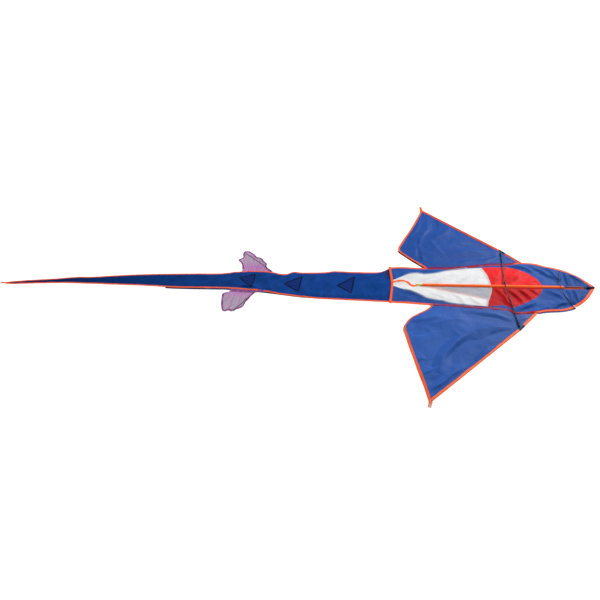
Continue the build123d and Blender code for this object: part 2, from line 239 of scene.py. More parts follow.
def crease(x, y, route, width, height, gentle=2.4, steep=1.1):
    """The height of one crease: a ridge along its route, steep on one side, that dies away at its ends."""
    line = curve_through(route, 0.01)
    way = np.gradient(line, axis=0)
    away = np.hypot(x[:, None] - line[:, 0], y[:, None] - line[:, 1])
    near = away.argmin(1)
    side = way[near, 0] * (y - line[near, 1]) - way[near, 1] * (x - line[near, 0])
    spread = width * np.where(side > 0, gentle, steep)
    fade = np.sin(np.pi * (near + 0.5) / len(line)) ** 0.7
    return height * fade * np.exp(-((away.min(1) / spread) ** 1.3))


# Each crease is its route on the plan, its width and its height, which is raised by the relief.
body_relief = 2.2
body_creases = [
    ([(0.03, 0.055), (0.13, 0.088)], 0.008, 0.002),
    ([(0.17, 0.03), (0.24, 0.092)], 0.011, 0.003),
    ([(0.24, 0.02), (0.33, 0.11)], 0.012, 0.004),
    ([(0.32, 0.03), (0.43, 0.135)], 0.012, -0.003),
    ([(0.36, 0.02), (0.47, 0.13)], 0.013, 0.0045),
    ([(0.44, 0.03), (0.515, 0.12)], 0.01, 0.003),
    ([(0.06, -0.02), (0.2, -0.09)], 0.011, 0.003),
    ([(0.2, -0.05), (0.33, -0.125)], 0.01, 0.002),
    ([(0.34, -0.075), (0.39, -0.145)], 0.009, 0.004),
    ([(0.42, -0.09), (0.47, -0.15)], 0.01, 0.003),
    ([(0.56, 0.02), (0.61, 0.13)], 0.011, 0.003),
    ([(0.64, 0.02), (0.7, 0.12)], 0.012, 0.004),
    ([(0.68, 0.015), (0.75, 0.08)], 0.01, -0.003),
    ([(0.73, 0.02), (0.78, 0.06)], 0.008, 0.003),
    ([(0.565, -0.02), (0.6, -0.085), (0.61, -0.14)], 0.008, 0.005),
    ([(0.59, -0.015), (0.635, -0.08), (0.66, -0.13)], 0.008, -0.004),
    ([(0.625, -0.015), (0.665, -0.07), (0.685, -0.12)], 0.008, 0.005),
    ([(0.655, -0.015), (0.69, -0.07), (0.71, -0.105)], 0.007, -0.004),
    ([(0.68, -0.01), (0.715, -0.06), (0.73, -0.1)], 0.007, 0.005),
    ([(0.71, -0.01), (0.74, -0.05), (0.755, -0.08)], 0.007, -0.003),
    ([(0.735, -0.01), (0.77, -0.055)], 0.007, 0.004),
    ([(0.05, 0.085), (0.11, 0.13)], 0.009, 0.002),
    ([(0.17, 0.12), (0.28, 0.14)], 0.01, 0.003),
    ([(0.36, 0.15), (0.46, 0.165)], 0.008, 0.002),
    ([(0.04, -0.06), (0.13, -0.1)], 0.01, -0.002),
    ([(0.63, 0.176), (0.72, 0.165), (0.78, 0.12)], 0.009, 0.004),
    ([(0.74, 0.195), (0.8, 0.155), (0.88, 0.085)], 0.011, 0.005),
    ([(0.78, 0.19), (0.83, 0.15), (0.86, 0.11)], 0.007, -0.004),
    ([(0.84, 0.16), (0.885, 0.12), (0.9, 0.05)], 0.009, 0.004),
    ([(0.81, 0.12), (0.87, 0.04)], 0.01, -0.003),
    ([(0.932, 0.135), (0.918, 0.02)], 0.006, -0.004),
    ([(0.945, 0.125), (0.938, 0.02)], 0.007, 0.005),
    ([(0.955, 0.115), (0.972, 0.03)], 0.006, -0.003),
    ([(0.965, 0.11), (1.01, 0.04)], 0.007, 0.004),
    ([(0.925, -0.015), (0.93, -0.135)], 0.007, 0.005),
    ([(0.942, -0.01), (0.945, -0.125)], 0.005, -0.004),
    ([(0.955, -0.01), (0.955, -0.12)], 0.005, 0.004),
    ([(0.985, -0.01), (0.965, -0.11)], 0.006, 0.003),
    ([(0.8, -0.02), (0.86, -0.05), (0.895, -0.11)], 0.012, 0.004),
    ([(0.82, -0.165), (0.86, -0.13), (0.9, -0.12)], 0.008, 0.004),
    ([(0.84, -0.172), (0.88, -0.15)], 0.006, -0.003),
    ([(0.64, -0.198), (0.68, -0.16), (0.75, -0.12)], 0.008, 0.004),
    ([(0.66, -0.198), (0.7, -0.172), (0.78, -0.15)], 0.006, -0.003),
    ([(0.7, -0.196), (0.74, -0.176), (0.81, -0.15)], 0.006, 0.003),
    ([(0.56, -0.165), (0.6, -0.158)], 0.006, -0.003),
]

# Where the underside of each half of the spreader lies, from the joiner out to the wing.
spreader_root_y = 0.02
spreader_run_y = 0.278
spreader_x = 0.612
spreader_sweep = 0.023
spreader_underside = 0.0127
spreader_drop = 0.0069
spreader_clearance = 0.006

# Where the underside of the head bow lies, from the spine out to its ends.
bow_half_span = 0.138
bow_x = 0.891
bow_sweep = 0.032
bow_underside = 0.0123
bow_drop = 0.0059
bow_clearance = 0.003

tent_slope = 0.35
highest_cloth = 0.014


def tent(x, rod_x, underside, clearance):
    """The room below a rod that lies across the body: least at the rod, and more on both sides."""
    return underside + tent_slope * np.clip(np.abs(x - rod_x) - clearance, 0, 1)


def under_rods(x, y):
    """The highest that cloth may rise: it stays below the spreader and the head bow."""
    out = np.clip((np.abs(y) - spreader_root_y) / spreader_run_y, 0, 1)
    spreader = tent(
        x, spreader_x + spreader_sweep * out, spreader_underside - spreader_drop * out, spreader_clearance
    )
    curve = np.clip(np.abs(y) / bow_half_span, 0, 1.1) ** 2
    bow = tent(x, bow_x + bow_sweep * curve, bow_underside - bow_drop * curve, bow_clearance)
    return np.minimum(np.minimum(spreader, bow), highest_cloth)


spine_hold = 0.026
tape_hold = 0.75
# The half width of the body at stations along it.
body_half_width = ([0, 0.3, 0.72, 0.86, 0.96, 1.064], [0.15, 0.158, 0.2, 0.175, 0.13, 0.02])


def body_height(x, y):
    """How high the slack cloth of the body lies; the spine and the edge tapes hold it down."""
    inner = np.clip(np.abs(y) / spine_hold, 0, 1) ** 2
    across = np.clip(np.abs(y) / np.interp(x, *body_half_width), 0, 1)
    edge_hold = 1 - np.clip((across - 0.8) / 0.2, 0, 1) ** 2 * tape_hold
    shift = 0.005 * crumple(x, y, 0.05, 3)
    folds = 0.0022 * crumple(x, y, 0.045, 4) + 0.0010 * crumple(x, y, 0.02, 5)
    for route, width, height in body_creases:
        folds = folds + body_relief * crease(x + shift, y + shift, route, width, height)
    lift = panel_rest + 0.0015 * np.sin(np.pi * across) + folds * inner * edge_hold
    return np.clip(lift, panel_rest - 0.0009, under_rods(x, y))


def cloth_mesh(name, points, faces, flat, finish):
    """A smooth piece of cloth; flat gives every point's place on the cut, for its weave."""
    mesh = bpy.data.meshes.new(name)
    mesh.from_pydata([tuple(map(float, p)) for p in points], [], [tuple(map(int, f)) for f in faces])
    weave = mesh.uv_layers.new(name="cut")
    corners = np.zeros(len(mesh.loops), int)
    mesh.loops.foreach_get("vertex_index", corners)
    weave.data.foreach_set("uv", np.asarray(flat, np.float32)[corners].ravel())
    mesh.shade_smooth()
    mesh.materials.append(finish)
    piece = bpy.data.objects.new(name, mesh)
    bpy.context.scene.collection.objects.link(piece)
    return piece


def outline_of(runs, step):
    """One closed outline from runs that meet end to end."""
    return np.concatenate([curve_through(run, step)[:-1] for run in runs])


def inside(points, outline):
    """Which plan points lie inside the outline."""
    x, y = points[:, :1], points[:, 1:]
    (x1, y1), (x2, y2) = outline.T, np.roll(outline, -1, axis=0).T
    rise = np.where(np.abs(y2 - y1) < 1e-12, 1e-12, y2 - y1)
    crossed = ((y1 > y) != (y2 > y)) & (x < (x2 - x1) * (y - y1) / rise + x1)
    return crossed.sum(1) % 2 == 1


def plan_area(outline):
    """The area inside an outline."""
    x, y = outline.T
    return abs(np.dot(x, np.roll(y, -1)) - np.dot(y, np.roll(x, -1))) / 2


def cut_cloth(name, runs, height, grain, finish, row_gap=0.866, edge_gap=0.55):
    """Cuts a panel to its outline and lays it at the given height. Gives the piece, its size and its area."""
    edge = outline_of(runs, grain)
    low, high = edge.min(0), edge.max(0)
    rows = np.arange(low[1], high[1], grain * row_gap)
    spots = [
        (x, y)
        for number, y in enumerate(rows)
        for x in np.arange(low[0] + (number % 2) * grain / 2, high[0], grain)
    ]
    spots = np.array(spots)
    spots = spots[inside(spots, edge)]
    away = np.concatenate(
        [np.hypot(*(part[:, None] - edge).transpose(2, 0, 1)).min(1) for part in np.array_split(spots, 40)]
    )
    spots = spots[away > grain * edge_gap]
    corners = [Vector(map(float, p)) for p in np.concatenate([edge, spots])]
    rim = [list(range(len(edge)))]
    laid, _, faces, *_ = delaunay_2d_cdt(corners, [], rim, 1, 1e-7)
    flat = np.array([tuple(p) for p in laid])
    used = sorted({corner for face in faces for corner in face})
    place = {corner: number for number, corner in enumerate(used)}
    flat = flat[used]
    faces = [[place[corner] for corner in face] for face in faces]
    lift = height(flat[:, 0], flat[:, 1])
    points = np.column_stack([flat[:, 0] + seam_x, flat[:, 1], lift])
    piece = cloth_mesh(name, points, faces, flat, finish)
    return piece, (float(high[1] - low[1]), float(high[0] - low[0])), plan_area(edge)


# A wave texture repeats every 0.314 m over its scale, so this puts a thread every 5 mm.
thread_scale = 62.8
thread_show = 0.35
thread_edge = 0.93
far_shade = 0.6


def ripstop(name, low, high, thread, roughness=0.45, glow=0.08, clear=0.0, gloss=0.12, dims=None):
    """Ripstop nylon: plain weave with a thicker thread every 5 mm, and a colour that clouds a little.

    glow is the light it lets through and clear how much it is seen through. dims gives where along
    the cut its colour starts to deepen and where it is deepest.
    """
    made, tree, surface = blank_finish(name)
    cut = join_nodes(tree, "ShaderNodeUVMap", {}, uv_map="cut").outputs["UV"]
    cloudy = join_nodes(tree, "ShaderNodeTexNoise", {"Vector": cut, "Scale": 14.0, "Detail": 4.0})
    tone = two_tones(tree, cloudy.outputs["Fac"], low, high)
    if dims:
        along = join_nodes(tree, "ShaderNodeSeparateXYZ", {"Vector": cut}).outputs["X"]
        ramp = join_nodes(
            tree, "ShaderNodeMapRange", {"Value": along, "From Min": dims[0], "From Max": dims[1]}
        ).outputs["Result"]
        deeper = join_nodes(tree, "ShaderNodeMix", {"Factor": ramp, 6: tone}, data_type="RGBA")
        deeper.inputs[7].default_value = (*(far_shade * value for value in low), 1)
        tone = deeper.outputs[2]
    lines = []
    for direction in ("X", "Y"):
        wave = join_nodes(
            tree,
            "ShaderNodeTexWave",
            {"Vector": cut, "Scale": thread_scale, "Distortion": 0.0},
            bands_direction=direction,
        )
        line = join_nodes(
            tree,
            "ShaderNodeMapRange",
            {"Value": wave.outputs["Fac"], "From Min": thread_edge, "From Max": 1.0},
        )
        lines.append(line.outputs["Result"])
    grid = join_nodes(tree, "ShaderNodeMath", {0: lines[0], 1: lines[1]}, operation="MAXIMUM").outputs[0]
    shown = join_nodes(tree, "ShaderNodeMath", {0: grid, 1: thread_show}, operation="MULTIPLY").outputs[0]
    mix = join_nodes(tree, "ShaderNodeMix", {"Factor": shown, 6: tone}, data_type="RGBA")
    mix.inputs[7].default_value = (*thread, 1)
    colour = mix.outputs[2]
    fine = join_nodes(tree, "ShaderNodeTexNoise", {"Vector": cut, "Scale": 90.0, "Detail": 6.0})
    weave = join_nodes(
        tree,
        "ShaderNodeMath",
        {0: fine.outputs["Fac"], 1: 4.0, 2: grid},
        operation="MULTIPLY_ADD",
    )
    bump = join_nodes(
        tree,
        "ShaderNodeBump",
        {"Height": weave.outputs[0], "Strength": 0.5, "Distance": 0.00035},
    )
    front = join_nodes(
        tree,
        "ShaderNodeBsdfPrincipled",
        {
            "Base Color": colour,
            "Roughness": roughness,
            "Specular IOR Level": gloss,
            "Normal": bump.outputs["Normal"],
        },
    )
    through = join_nodes(
        tree,
        "ShaderNodeBsdfTranslucent",
        {"Color": colour, "Normal": bump.outputs["Normal"]},
    )
    both = join_nodes(tree, "ShaderNodeMixShader", {0: glow, 1: front.outputs[0], 2: through.outputs[0]})
    if clear:
        hole = join_nodes(tree, "ShaderNodeBsdfTransparent", {})
        both = join_nodes(tree, "ShaderNodeMixShader", {0: clear, 1: both.outputs[0], 2: hole.outputs[0]})
    tree.links.new(both.outputs[0], surface)
    return made


# Towards the nose this blue deepens: painted shade, to offset the head's nearness to the window lamp.
body_blue = ripstop(
    "body_blue_ripstop",
    (0.016, 0.078, 0.32),
    (0.028, 0.105, 0.42),
    (0.034, 0.12, 0.46),
    gloss=0.05,
    dims=(0.75, 1.15),
)
deep_blue = ripstop("deep_blue_ripstop", (0.01, 0.065, 0.29), (0.018, 0.085, 0.37), (0.025, 0.1, 0.42))
white_cloth = ripstop(
    "white_ripstop", (0.5, 0.51, 0.53), (0.78, 0.785, 0.785), (0.78, 0.78, 0.78), glow=0.15, clear=0.27
)
# The right red cloth is a darker copy of the left: painted shade where the keel under it keeps light from
# coming up through it.
red_cloth = {
    "left": ripstop("red_ripstop", (0.72, 0.014, 0.018), (0.9, 0.022, 0.026), (0.95, 0.04, 0.04), gloss=0.05),
    "right": ripstop(
        "red_ripstop_keel_shade", (0.44, 0.008, 0.012), (0.62, 0.012, 0.018), (0.7, 0.02, 0.02), gloss=0.05
    ),
}


def backwards(run):
    """The same run of points from its other end."""
    return list(reversed(run))


panels = {}
for side, edge in (("left", left_edge), ("right", right_edge)):
    rim, join, front = white_rim[side], colour_seam[side], red_rim[side]
    seam_end = front[0]
    tuck = [seam_end, (seam_end[0], float(np.interp(seam_end[0], *np.transpose(edge))))]
    rear_edge = [point for point in edge if point[0] < seam_end[0] - 0.004] + [tuck[1]]
    fore_edge = [tuck[1]] + [point for point in edge if point[0] > seam_end[0] + 0.004]
    rear_middle = (rim[0][0] - 0.002, 0.002)
    cuts = {
        "white_panel": [rim, join, [join[-1], rear_middle], [rear_middle, rim[0]]],
        "red_panel": [front, [front[-1], join[-1]], backwards(join)],
        "side_panel": [rear_edge, backwards(tuck), backwards(rim), [rim[0], rear_edge[0]]],
        "head_panel": [fore_edge, [fore_edge[-1], front[-1]], backwards(front), tuck],
    }
    finishes = {
        "white_panel": (white_cloth, "ripstop_white"),
        "red_panel": (red_cloth[side], "ripstop_red"),
        "side_panel": ({"left": body_blue, "right": deep_blue}[side], "ripstop_blue"),
        "head_panel": (body_blue, "ripstop_blue"),
    }
    for kind, runs in cuts.items():
        finish, slot = finishes[kind]
        panel, size, area = cut_cloth(f"{kind}_cloth_{side}", runs, body_height, cloth_grain, finish)
        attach(panel, "fuselage")
        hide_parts(f"{kind}_{side}")
        panels[kind, side] = (panel, size, area)

# ------------------------------------------------------------------ body hems
# Where the white cloth is laid over the blue, its hem shows as a grey-blue band, partly the blue seen through
# the white and partly painted hem shade, and where it meets the red as a white fold. The red cloth is sewn
# down with a row of deep red stitches. The hems are turned edges of the panels, sewn through both cloths.


def swept_strip(name, route, section, height, finish, loose=0.0002, sway=0.06, seed=1, step=0.006):
    """Sweeps a tape's section along a route: each section point is a distance to the left and a rise."""
    line = curve_through(route, step)
    way = np.gradient(line, axis=0)
    way /= np.linalg.norm(way, axis=1)[:, None]
    left = np.column_stack([-way[:, 1], way[:, 0]])
    along = np.append(0, np.cumsum(np.linalg.norm(np.diff(line, axis=0), axis=1)))
    still = along * 0
    spread = 1 + sway * crumple(along, still, 0.04, seed)
    pucker = loose * crumple(along, still, 0.018, seed + 1)
    points, flat, gone, before = [], [], 0, section[0]
    for across, rise in section:
        gone += float(np.hypot(across - before[0], rise - before[1]))
        before = (across, rise)
        spot = line + left * (across * spread)[:, None]
        lift = np.maximum(height(spot[:, 0], spot[:, 1]) + rise + pucker, 0.0003)
        points.append(np.column_stack([spot[:, 0] + seam_x, spot[:, 1], lift]))
        flat.append(np.column_stack([along, still + gone]))
    count = len(line)
    faces = [
        (row * count + i, row * count + i + 1, (row + 1) * count + i + 1, (row + 1) * count + i)
        for row in range(len(section) - 1)
        for i in range(count - 1)
    ]
    piece = cloth_mesh(name, np.concatenate(points), faces, np.concatenate(flat), finish)
    return piece, (gone, float(along[-1]))


def stitch_row(name, route, height, finish, rise=0.0006, stitch=0.0032, gap=0.0012, half=0.0007):
    """A row of raised stitches along a route."""
    line = curve_through(route, (stitch + gap) / 2)
    points, faces, flat = [], [], []
    for start, end in zip(line[0:-1:2], line[1::2]):
        way = (end - start) / max(np.linalg.norm(end - start), 1e-9)
        left = np.array([-way[1], way[0]]) * half
        reach = way * stitch / 2
        middle = (start + end) / 2
        first = len(points)
        for spot, top in ((-reach, 0), (-left, 1), (reach, 0), (left, 1)):
            x, y = middle + spot
            level = float(height(np.array([x]), np.array([y]))[0])
            points.append((x + seam_x, y, level + rise * (0.5 + 0.5 * top)))
            flat.append((x, y))
        faces.append(tuple(range(first, first + 4)))
    return cloth_mesh(name, points, faces, flat, finish)


def thread(name, colour):
    """Polyester sewing thread, twisted, with a faint shine."""
    return moulded(name, tuple(0.8 * c for c in colour), colour, 0.5, 2500)


hem_section = [(-0.0048, 0.0003), (-0.0036, 0.0008), (0.0036, 0.0008), (0.0048, 0.0003)]
hem_outside = 0.0035
fold_behind_seam = 0.004
# The hem's grey-blue is partly the blue seen through the white and partly painted hem shade.
white_hem = ripstop("white_hem_over_blue_shaded", (0.16, 0.23, 0.42), (0.3, 0.37, 0.55), (0.36, 0.42, 0.58))
red_thread = thread("red_thread", (0.3, 0.008, 0.01))
for side, sign in (("left", 1), ("right", -1)):
    hem_line = [(x, y + sign * hem_outside) for x, y in white_rim[side][1:-1]]
    hem, _ = swept_strip(f"white_hem_{side}", hem_line, hem_section, body_height, white_hem, seed=11)
    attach(hem, "fuselage")
    seam = [(x - fold_behind_seam, y) for x, y in colour_seam[side]]
    fold, _ = swept_strip(f"colour_seam_{side}", seam, hem_section, body_height, white_cloth, seed=13)
    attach(fold, "fuselage")
    inset = [(x * 0.955 + 0.029, y * 0.925) for x, y in red_rim[side][1:-1]]
    row = stitch_row(f"red_stitches_{side}", inset, body_height, red_thread)
    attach(row, "fuselage")
    sewn_on = {"white_panel": [hem, fold], "red_panel": [row], "side_panel": [], "head_panel": []}
    for kind, hems in sewn_on.items():
        panel, size, area = panels[kind, side]

# ------------------------------------------------------------------ body edge tapes
# A fluorescent nylon tape is folded over every raw edge of the kite and sewn with one row of stitches.
# It lets light through. Emission gives it a painted glow that stands in for its fluorescence, and along the
# wing roots, where it lies over blue cloth, it is painted deep red as shade; a narrow allowance of the wing's
# seam shows beside it.


def for_side(section, sign):
    """A section drawn for the left of its route as it is, or turned over for the right."""
    turned = [(sign * across, rise) for across, rise in section]
    return turned if sign > 0 else turned[::-1]


def fold_section(width, inner, thick=0.0009):
    """The section of a tape folded over an edge; inner is 1 where the cloth is on the left of the route."""
    shares = (1, 0.86, 0.5, 0.1, -0.04, 0.1, 0.5, 0.86, 1)
    rises = (-0.6, -0.35, -0.8, -0.9, 0, 0.9, 0.8, 0.35, 0.6)
    return for_side([(width * share, rise * thick) for share, rise in zip(shares, rises)], inner)


def within(tree, value, low, high, soft):
    """A mask that is 1 where the value lies between low and high, with soft ends."""
    rise = join_nodes(
        tree, "ShaderNodeMapRange", {"Value": value, "From Min": low - soft, "From Max": low + soft}
    )
    fall = join_nodes(
        tree, "ShaderNodeMapRange", {"Value": value, "From Min": high + soft, "From Max": high - soft}
    )
    return join_nodes(
        tree, "ShaderNodeMath", {0: rise.outputs["Result"], 1: fall.outputs["Result"]}, operation="MULTIPLY"
    ).outputs[0]


stitch_scale = 100.0
rib_scale = 340.0
stitch_colour = (0.6, 0.05, 0.01, 1)


def binding(name, width, painted_shade_stretch=None, low=(0.9, 0.085, 0.008), high=(0.99, 0.15, 0.02), glow=0.3):
    """Fluorescent orange tape with ribs and one row of stitches. Its third argument is its stretch over blue
    cloth, which is painted deep red as shade.
    """
    made, tree, surface = blank_finish(name)
    cut = join_nodes(tree, "ShaderNodeUVMap", {}, uv_map="cut").outputs["UV"]
    parts = join_nodes(tree, "ShaderNodeSeparateXYZ", {"Vector": cut})
    along, across = parts.outputs["X"], parts.outputs["Y"]
    mottle = join_nodes(tree, "ShaderNodeTexNoise", {"Vector": cut, "Scale": 55.0, "Detail": 4.0})
    colour = two_tones(tree, mottle.outputs["Fac"], low, high)
    if painted_shade_stretch:
        # Painted shade: over blue cloth the tape takes a deep red, for the light that the blue keeps from
        # coming through it.
        deep = two_tones(tree, mottle.outputs["Fac"], (0.26, 0.0, 0.002), (0.5, 0.001, 0.002))
        mask = within(tree, along, *painted_shade_stretch, 0.012)
        mix = join_nodes(tree, "ShaderNodeMix", {"Factor": mask, 6: colour, 7: deep}, data_type="RGBA")
        colour = mix.outputs[2]
    middle = join_nodes(tree, "ShaderNodeMath", {0: across, 1: width}, operation="SUBTRACT").outputs[0]
    off = join_nodes(tree, "ShaderNodeMath", {0: middle}, operation="ABSOLUTE").outputs[0]
    row = within(tree, off, width * 0.8, width * 0.88, 0.0001)
    dash = join_nodes(tree, "ShaderNodeTexWave", {"Vector": cut, "Scale": stitch_scale}, bands_direction="X")
    stitch = join_nodes(
        tree, "ShaderNodeMath", {0: row, 1: dash.outputs["Fac"]}, operation="MULTIPLY"
    ).outputs[0]
    sewn = join_nodes(tree, "ShaderNodeMix", {"Factor": stitch, 6: colour}, data_type="RGBA")
    sewn.inputs[7].default_value = stitch_colour
    rib = join_nodes(tree, "ShaderNodeTexWave", {"Vector": cut, "Scale": rib_scale}, bands_direction="X")
    relief = join_nodes(
        tree, "ShaderNodeMath", {0: stitch, 1: -2.5, 2: rib.outputs["Fac"]}, operation="MULTIPLY_ADD"
    ).outputs[0]
    bump = join_nodes(tree, "ShaderNodeBump", {"Height": relief, "Strength": 0.5, "Distance": 0.0002})
    # Emission is a painted glow: it stands in for the tape's fluorescence and keeps it bright whatever light
    # falls on it.
    front = join_nodes(
        tree,
        "ShaderNodeBsdfPrincipled",
        {
            "Base Color": sewn.outputs[2],
            "Roughness": 0.55,
            "Specular IOR Level": 0.2,
            "Emission Color": sewn.outputs[2],
            "Emission Strength": glow,
            "Normal": bump.outputs["Normal"],
        },
    )
    through = join_nodes(tree, "ShaderNodeBsdfTranslucent", {"Color": sewn.outputs[2]})
    both = join_nodes(tree, "ShaderNodeMixShader", {0: 0.18, 1: front.outputs[0], 2: through.outputs[0]})
    tree.links.new(both.outputs[0], surface)
    return made


tape_half = 0.0132
root_rear_x = 0.19
root_front_x = 0.75
allowance_profile = [(-0.004, 0.0012), (-0.002, 0.0018), (0.001, 0.0015)]
root_red = ripstop(
    "wing_root_allowance", (0.2, 0.002, 0.006), (0.36, 0.004, 0.008), (0.36, 0.01, 0.01), 0.7, gloss=0.0
)
# Each body tape is painted deep red as shade along its stretch beside the wing root.
for side, edge, inner, painted_shade_stretch in (
    ("left", left_edge, -1, (0.215, 0.71)),
    ("right", right_edge, 1, (0.225, 0.755)),
):
    tape, size = swept_strip(
        f"edge_tape_{side}",
        edge,
        fold_section(tape_half, inner),
        body_height,
        binding(f"body_tape_{side}", tape_half, painted_shade_stretch),
        seed=21,
    )
    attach(tape, "fuselage")
    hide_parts(f"body_edge_tape_{side}")
    root_line = [point for point in edge if root_rear_x < point[0] < root_front_x]
    allowance_section = [(inner * across, rise) for across, rise in allowance_profile]
    allowance, _ = swept_strip(
        f"wing_root_allowance_{side}", root_line, allowance_section, body_height, root_red, seed=25
    )
    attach(allowance, "fuselage")

plain_tape = binding("plain_tape", tape_half)


def above_panels(x, y):
    """Just above the body's cloth."""
    return body_height(x, y) + 0.0009


rear_tape_half = 0.0125
rear_route = [
    (-0.018, -0.151), (-0.012, -0.08), (-0.008, 0.0), (-0.012, 0.05), (-0.018, 0.1), (-0.026, 0.158),
]
rear_tape, size = swept_strip(
    "rear_tape", rear_route, fold_section(rear_tape_half, -1), above_panels, plain_tape, seed=23
)
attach(rear_tape, "fuselage")
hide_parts("rear_cross_tape")

head_hem = [(0.74, -0.195), (0.79, -0.183), (0.86, -0.176), (0.91, -0.160), (0.93, -0.148)]
turned_section = [(-0.0065, -0.002), (-0.004, -0.0014), (0.004, -0.0012)]
hem, size = swept_strip("head_turned_hem", head_hem, turned_section, body_height, deep_blue)
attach(hem, "fuselage")

# ------------------------------------------------------------------ spine sleeve, nose and tension tape
# The spine rod runs in a sleeve of the same tape, sewn down on both sides, up to a mouth behind the nose.
# A dark webbing pocket takes its front end, and a slack tape from the rear pulls its end cap back.

sleeve_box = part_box("spine_sleeve")
crown = sleeve_box[1].z - 0.0003 - panel_rest
sleeve_section = [
    (across / 1000, rise * crown)
    for across, rise in (
        (-6.0, 0.05), (-4.8, 0.16), (-3.8, 0.4), (-3.1, 0.75), (-1.7, 0.95), (0, 1.0), (1.7, 0.97),
        (3.6, 0.85), (6.0, 0.6), (9.0, 0.32), (12.0, 0.14), (14.5, 0.06),
    )
]
sleeve_run = [(sleeve_box[0].x - seam_x, 0.0), (0.5, 0.0), (sleeve_box[1].x - seam_x, 0.0)]
# The sleeve gets a stronger painted glow, so that its sides, which the lamps leave in shade, still read
# bright orange.
sleeve_tape = binding("sleeve_tape", 0.0155, low=(0.95, 0.09, 0.01), high=(1.0, 0.17, 0.03), glow=0.5)
sleeve, size = swept_strip(
    "spine_sleeve_cloth",
    sleeve_run,
    sleeve_section,
    body_height,
    sleeve_tape,
    sway=0.04,
    loose=0.0001,
    seed=31,
)
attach(sleeve, "fuselage")
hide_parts("spine_sleeve")

nose_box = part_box("nose_tape")
nose_run = [(nose_box[0].x - seam_x, -0.001), (nose_box[1].x - seam_x, 0.001)]
nose_section = [(-0.009, 0.0004), (-0.007, 0.0011), (0.007, 0.0011), (0.009, 0.0004)]
nose_tape, size = swept_strip("nose_tape_cloth", nose_run, nose_section, body_height, plain_tape, seed=33)
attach(nose_tape, "fuselage")
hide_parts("nose_tape")

webbing = ripstop("dark_webbing", (0.006, 0.01, 0.03), (0.014, 0.02, 0.06), (0.02, 0.03, 0.08), 0.6, 0.03)
pocket_low, pocket_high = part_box("nose_pocket")
pocket_rear_x = pocket_low.x + 0.016
pocket_length = pocket_high.x - pocket_low.x - 0.011
pocket_drift = 0.004
pocket_shares = (0, 0.04, 0.3, 0.6, 0.85, 0.96, 1.0)
arch_points = 15
arch = np.radians(np.linspace(0, 180, arch_points))
rings, flat, faces = [], [], []
for share in pocket_shares:
    half = np.interp(share, [0, 0.85, 1], [0.0072, 0.0058, 0.002])
    top = np.interp(share, [0, 0.04, 0.85, 1], [0.0086, 0.0092, 0.0088, 0.003])
    x = pocket_rear_x + share * pocket_length
    y = half * np.cos(arch) + pocket_drift * share
    z = panel_rest + 0.0006 + top * np.sin(arch) ** 0.7
    rings.extend(zip(np.full(arch_points, x), y, z))
    flat.extend(zip(np.full(arch_points, share * 0.05), arch * 0.012))
for ring in range(len(pocket_shares) - 1):
    for i in range(ring * arch_points, (ring + 1) * arch_points - 1):
        faces.append((i, i + 1, i + arch_points + 1, i + arch_points))
pocket = cloth_mesh("nose_pocket_cloth", rings, faces, flat, webbing)
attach(pocket, "fuselage")
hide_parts("nose_pocket")

cap_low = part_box("spine_end_cap")[0]
cap_x = cap_low.x - seam_x
climb_run = 0.03


def slack_height(x, y):
    """The tension tape lies on the white cloth in soft waves and climbs to the end cap."""
    climb = np.clip((x - cap_x + climb_run) / climb_run, 0, 1)
    return body_height(x, y) + 0.0014 + 0.0012 * np.sin(x * 120) ** 2 + 0.0032 * climb**2


slack_run = [
    (-0.004, 0.02), (0.03, 0.031), (0.062, 0.034), (0.085, 0.024), (0.105, 0.0), (0.12, -0.008),
    (cap_x, -0.001),
]
slack_section = [(-0.0064, 0), (-0.0052, 0.0008), (0.0052, 0.0008), (0.0064, 0)]
slack_tape, size = swept_strip(
    "tension_tape_cloth", slack_run, slack_section, slack_height, plain_tape, seed=35
)
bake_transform(slack_tape)
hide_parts("tension_tape")

# ------------------------------------------------------------------ wings
# Each wing is one piece of blue ripstop sewn along its root, with folded tape round its two free edges.
# The leading edge is the same tape sewn as a sleeve round a rod, open at the bend where the spreader joins,
# and a short tab holds the rod's tip. Behind the left wing's trailing tape lies a dark strip: the tape's
# turned underside, with its shade painted into its colour.

rod_root, rod_bend, rod_tip = (0.737, 0.198), (0.637, 0.315), (0.183, 0.766)
wing_tip_edge = {
    "left": [
        (0.181, 0.764), (0.175, 0.725), (0.155, 0.665), (0.135, 0.605), (0.097, 0.505), (0.071, 0.45),
        (0.046, 0.385), (0.032, 0.347), (0.033, 0.318),
    ],
    "right": [
        (0.173, -0.783), (0.163, -0.745), (0.150, -0.69), (0.132, -0.63), (0.110, -0.545), (0.086, -0.455),
        (0.069, -0.385), (0.059, -0.348), (0.061, -0.325),
    ],
}
wing_trailing_edge = {
    "left": [(0.033, 0.318), (0.05, 0.293), (0.085, 0.256), (0.13, 0.21), (0.165, 0.177), (0.192, 0.15)],
    "right": [
        (0.061, -0.325), (0.075, -0.292), (0.1, -0.256), (0.135, -0.229), (0.172, -0.203), (0.197, -0.178),
        (0.216, -0.153),
    ],
}
wing_relief = 1.9
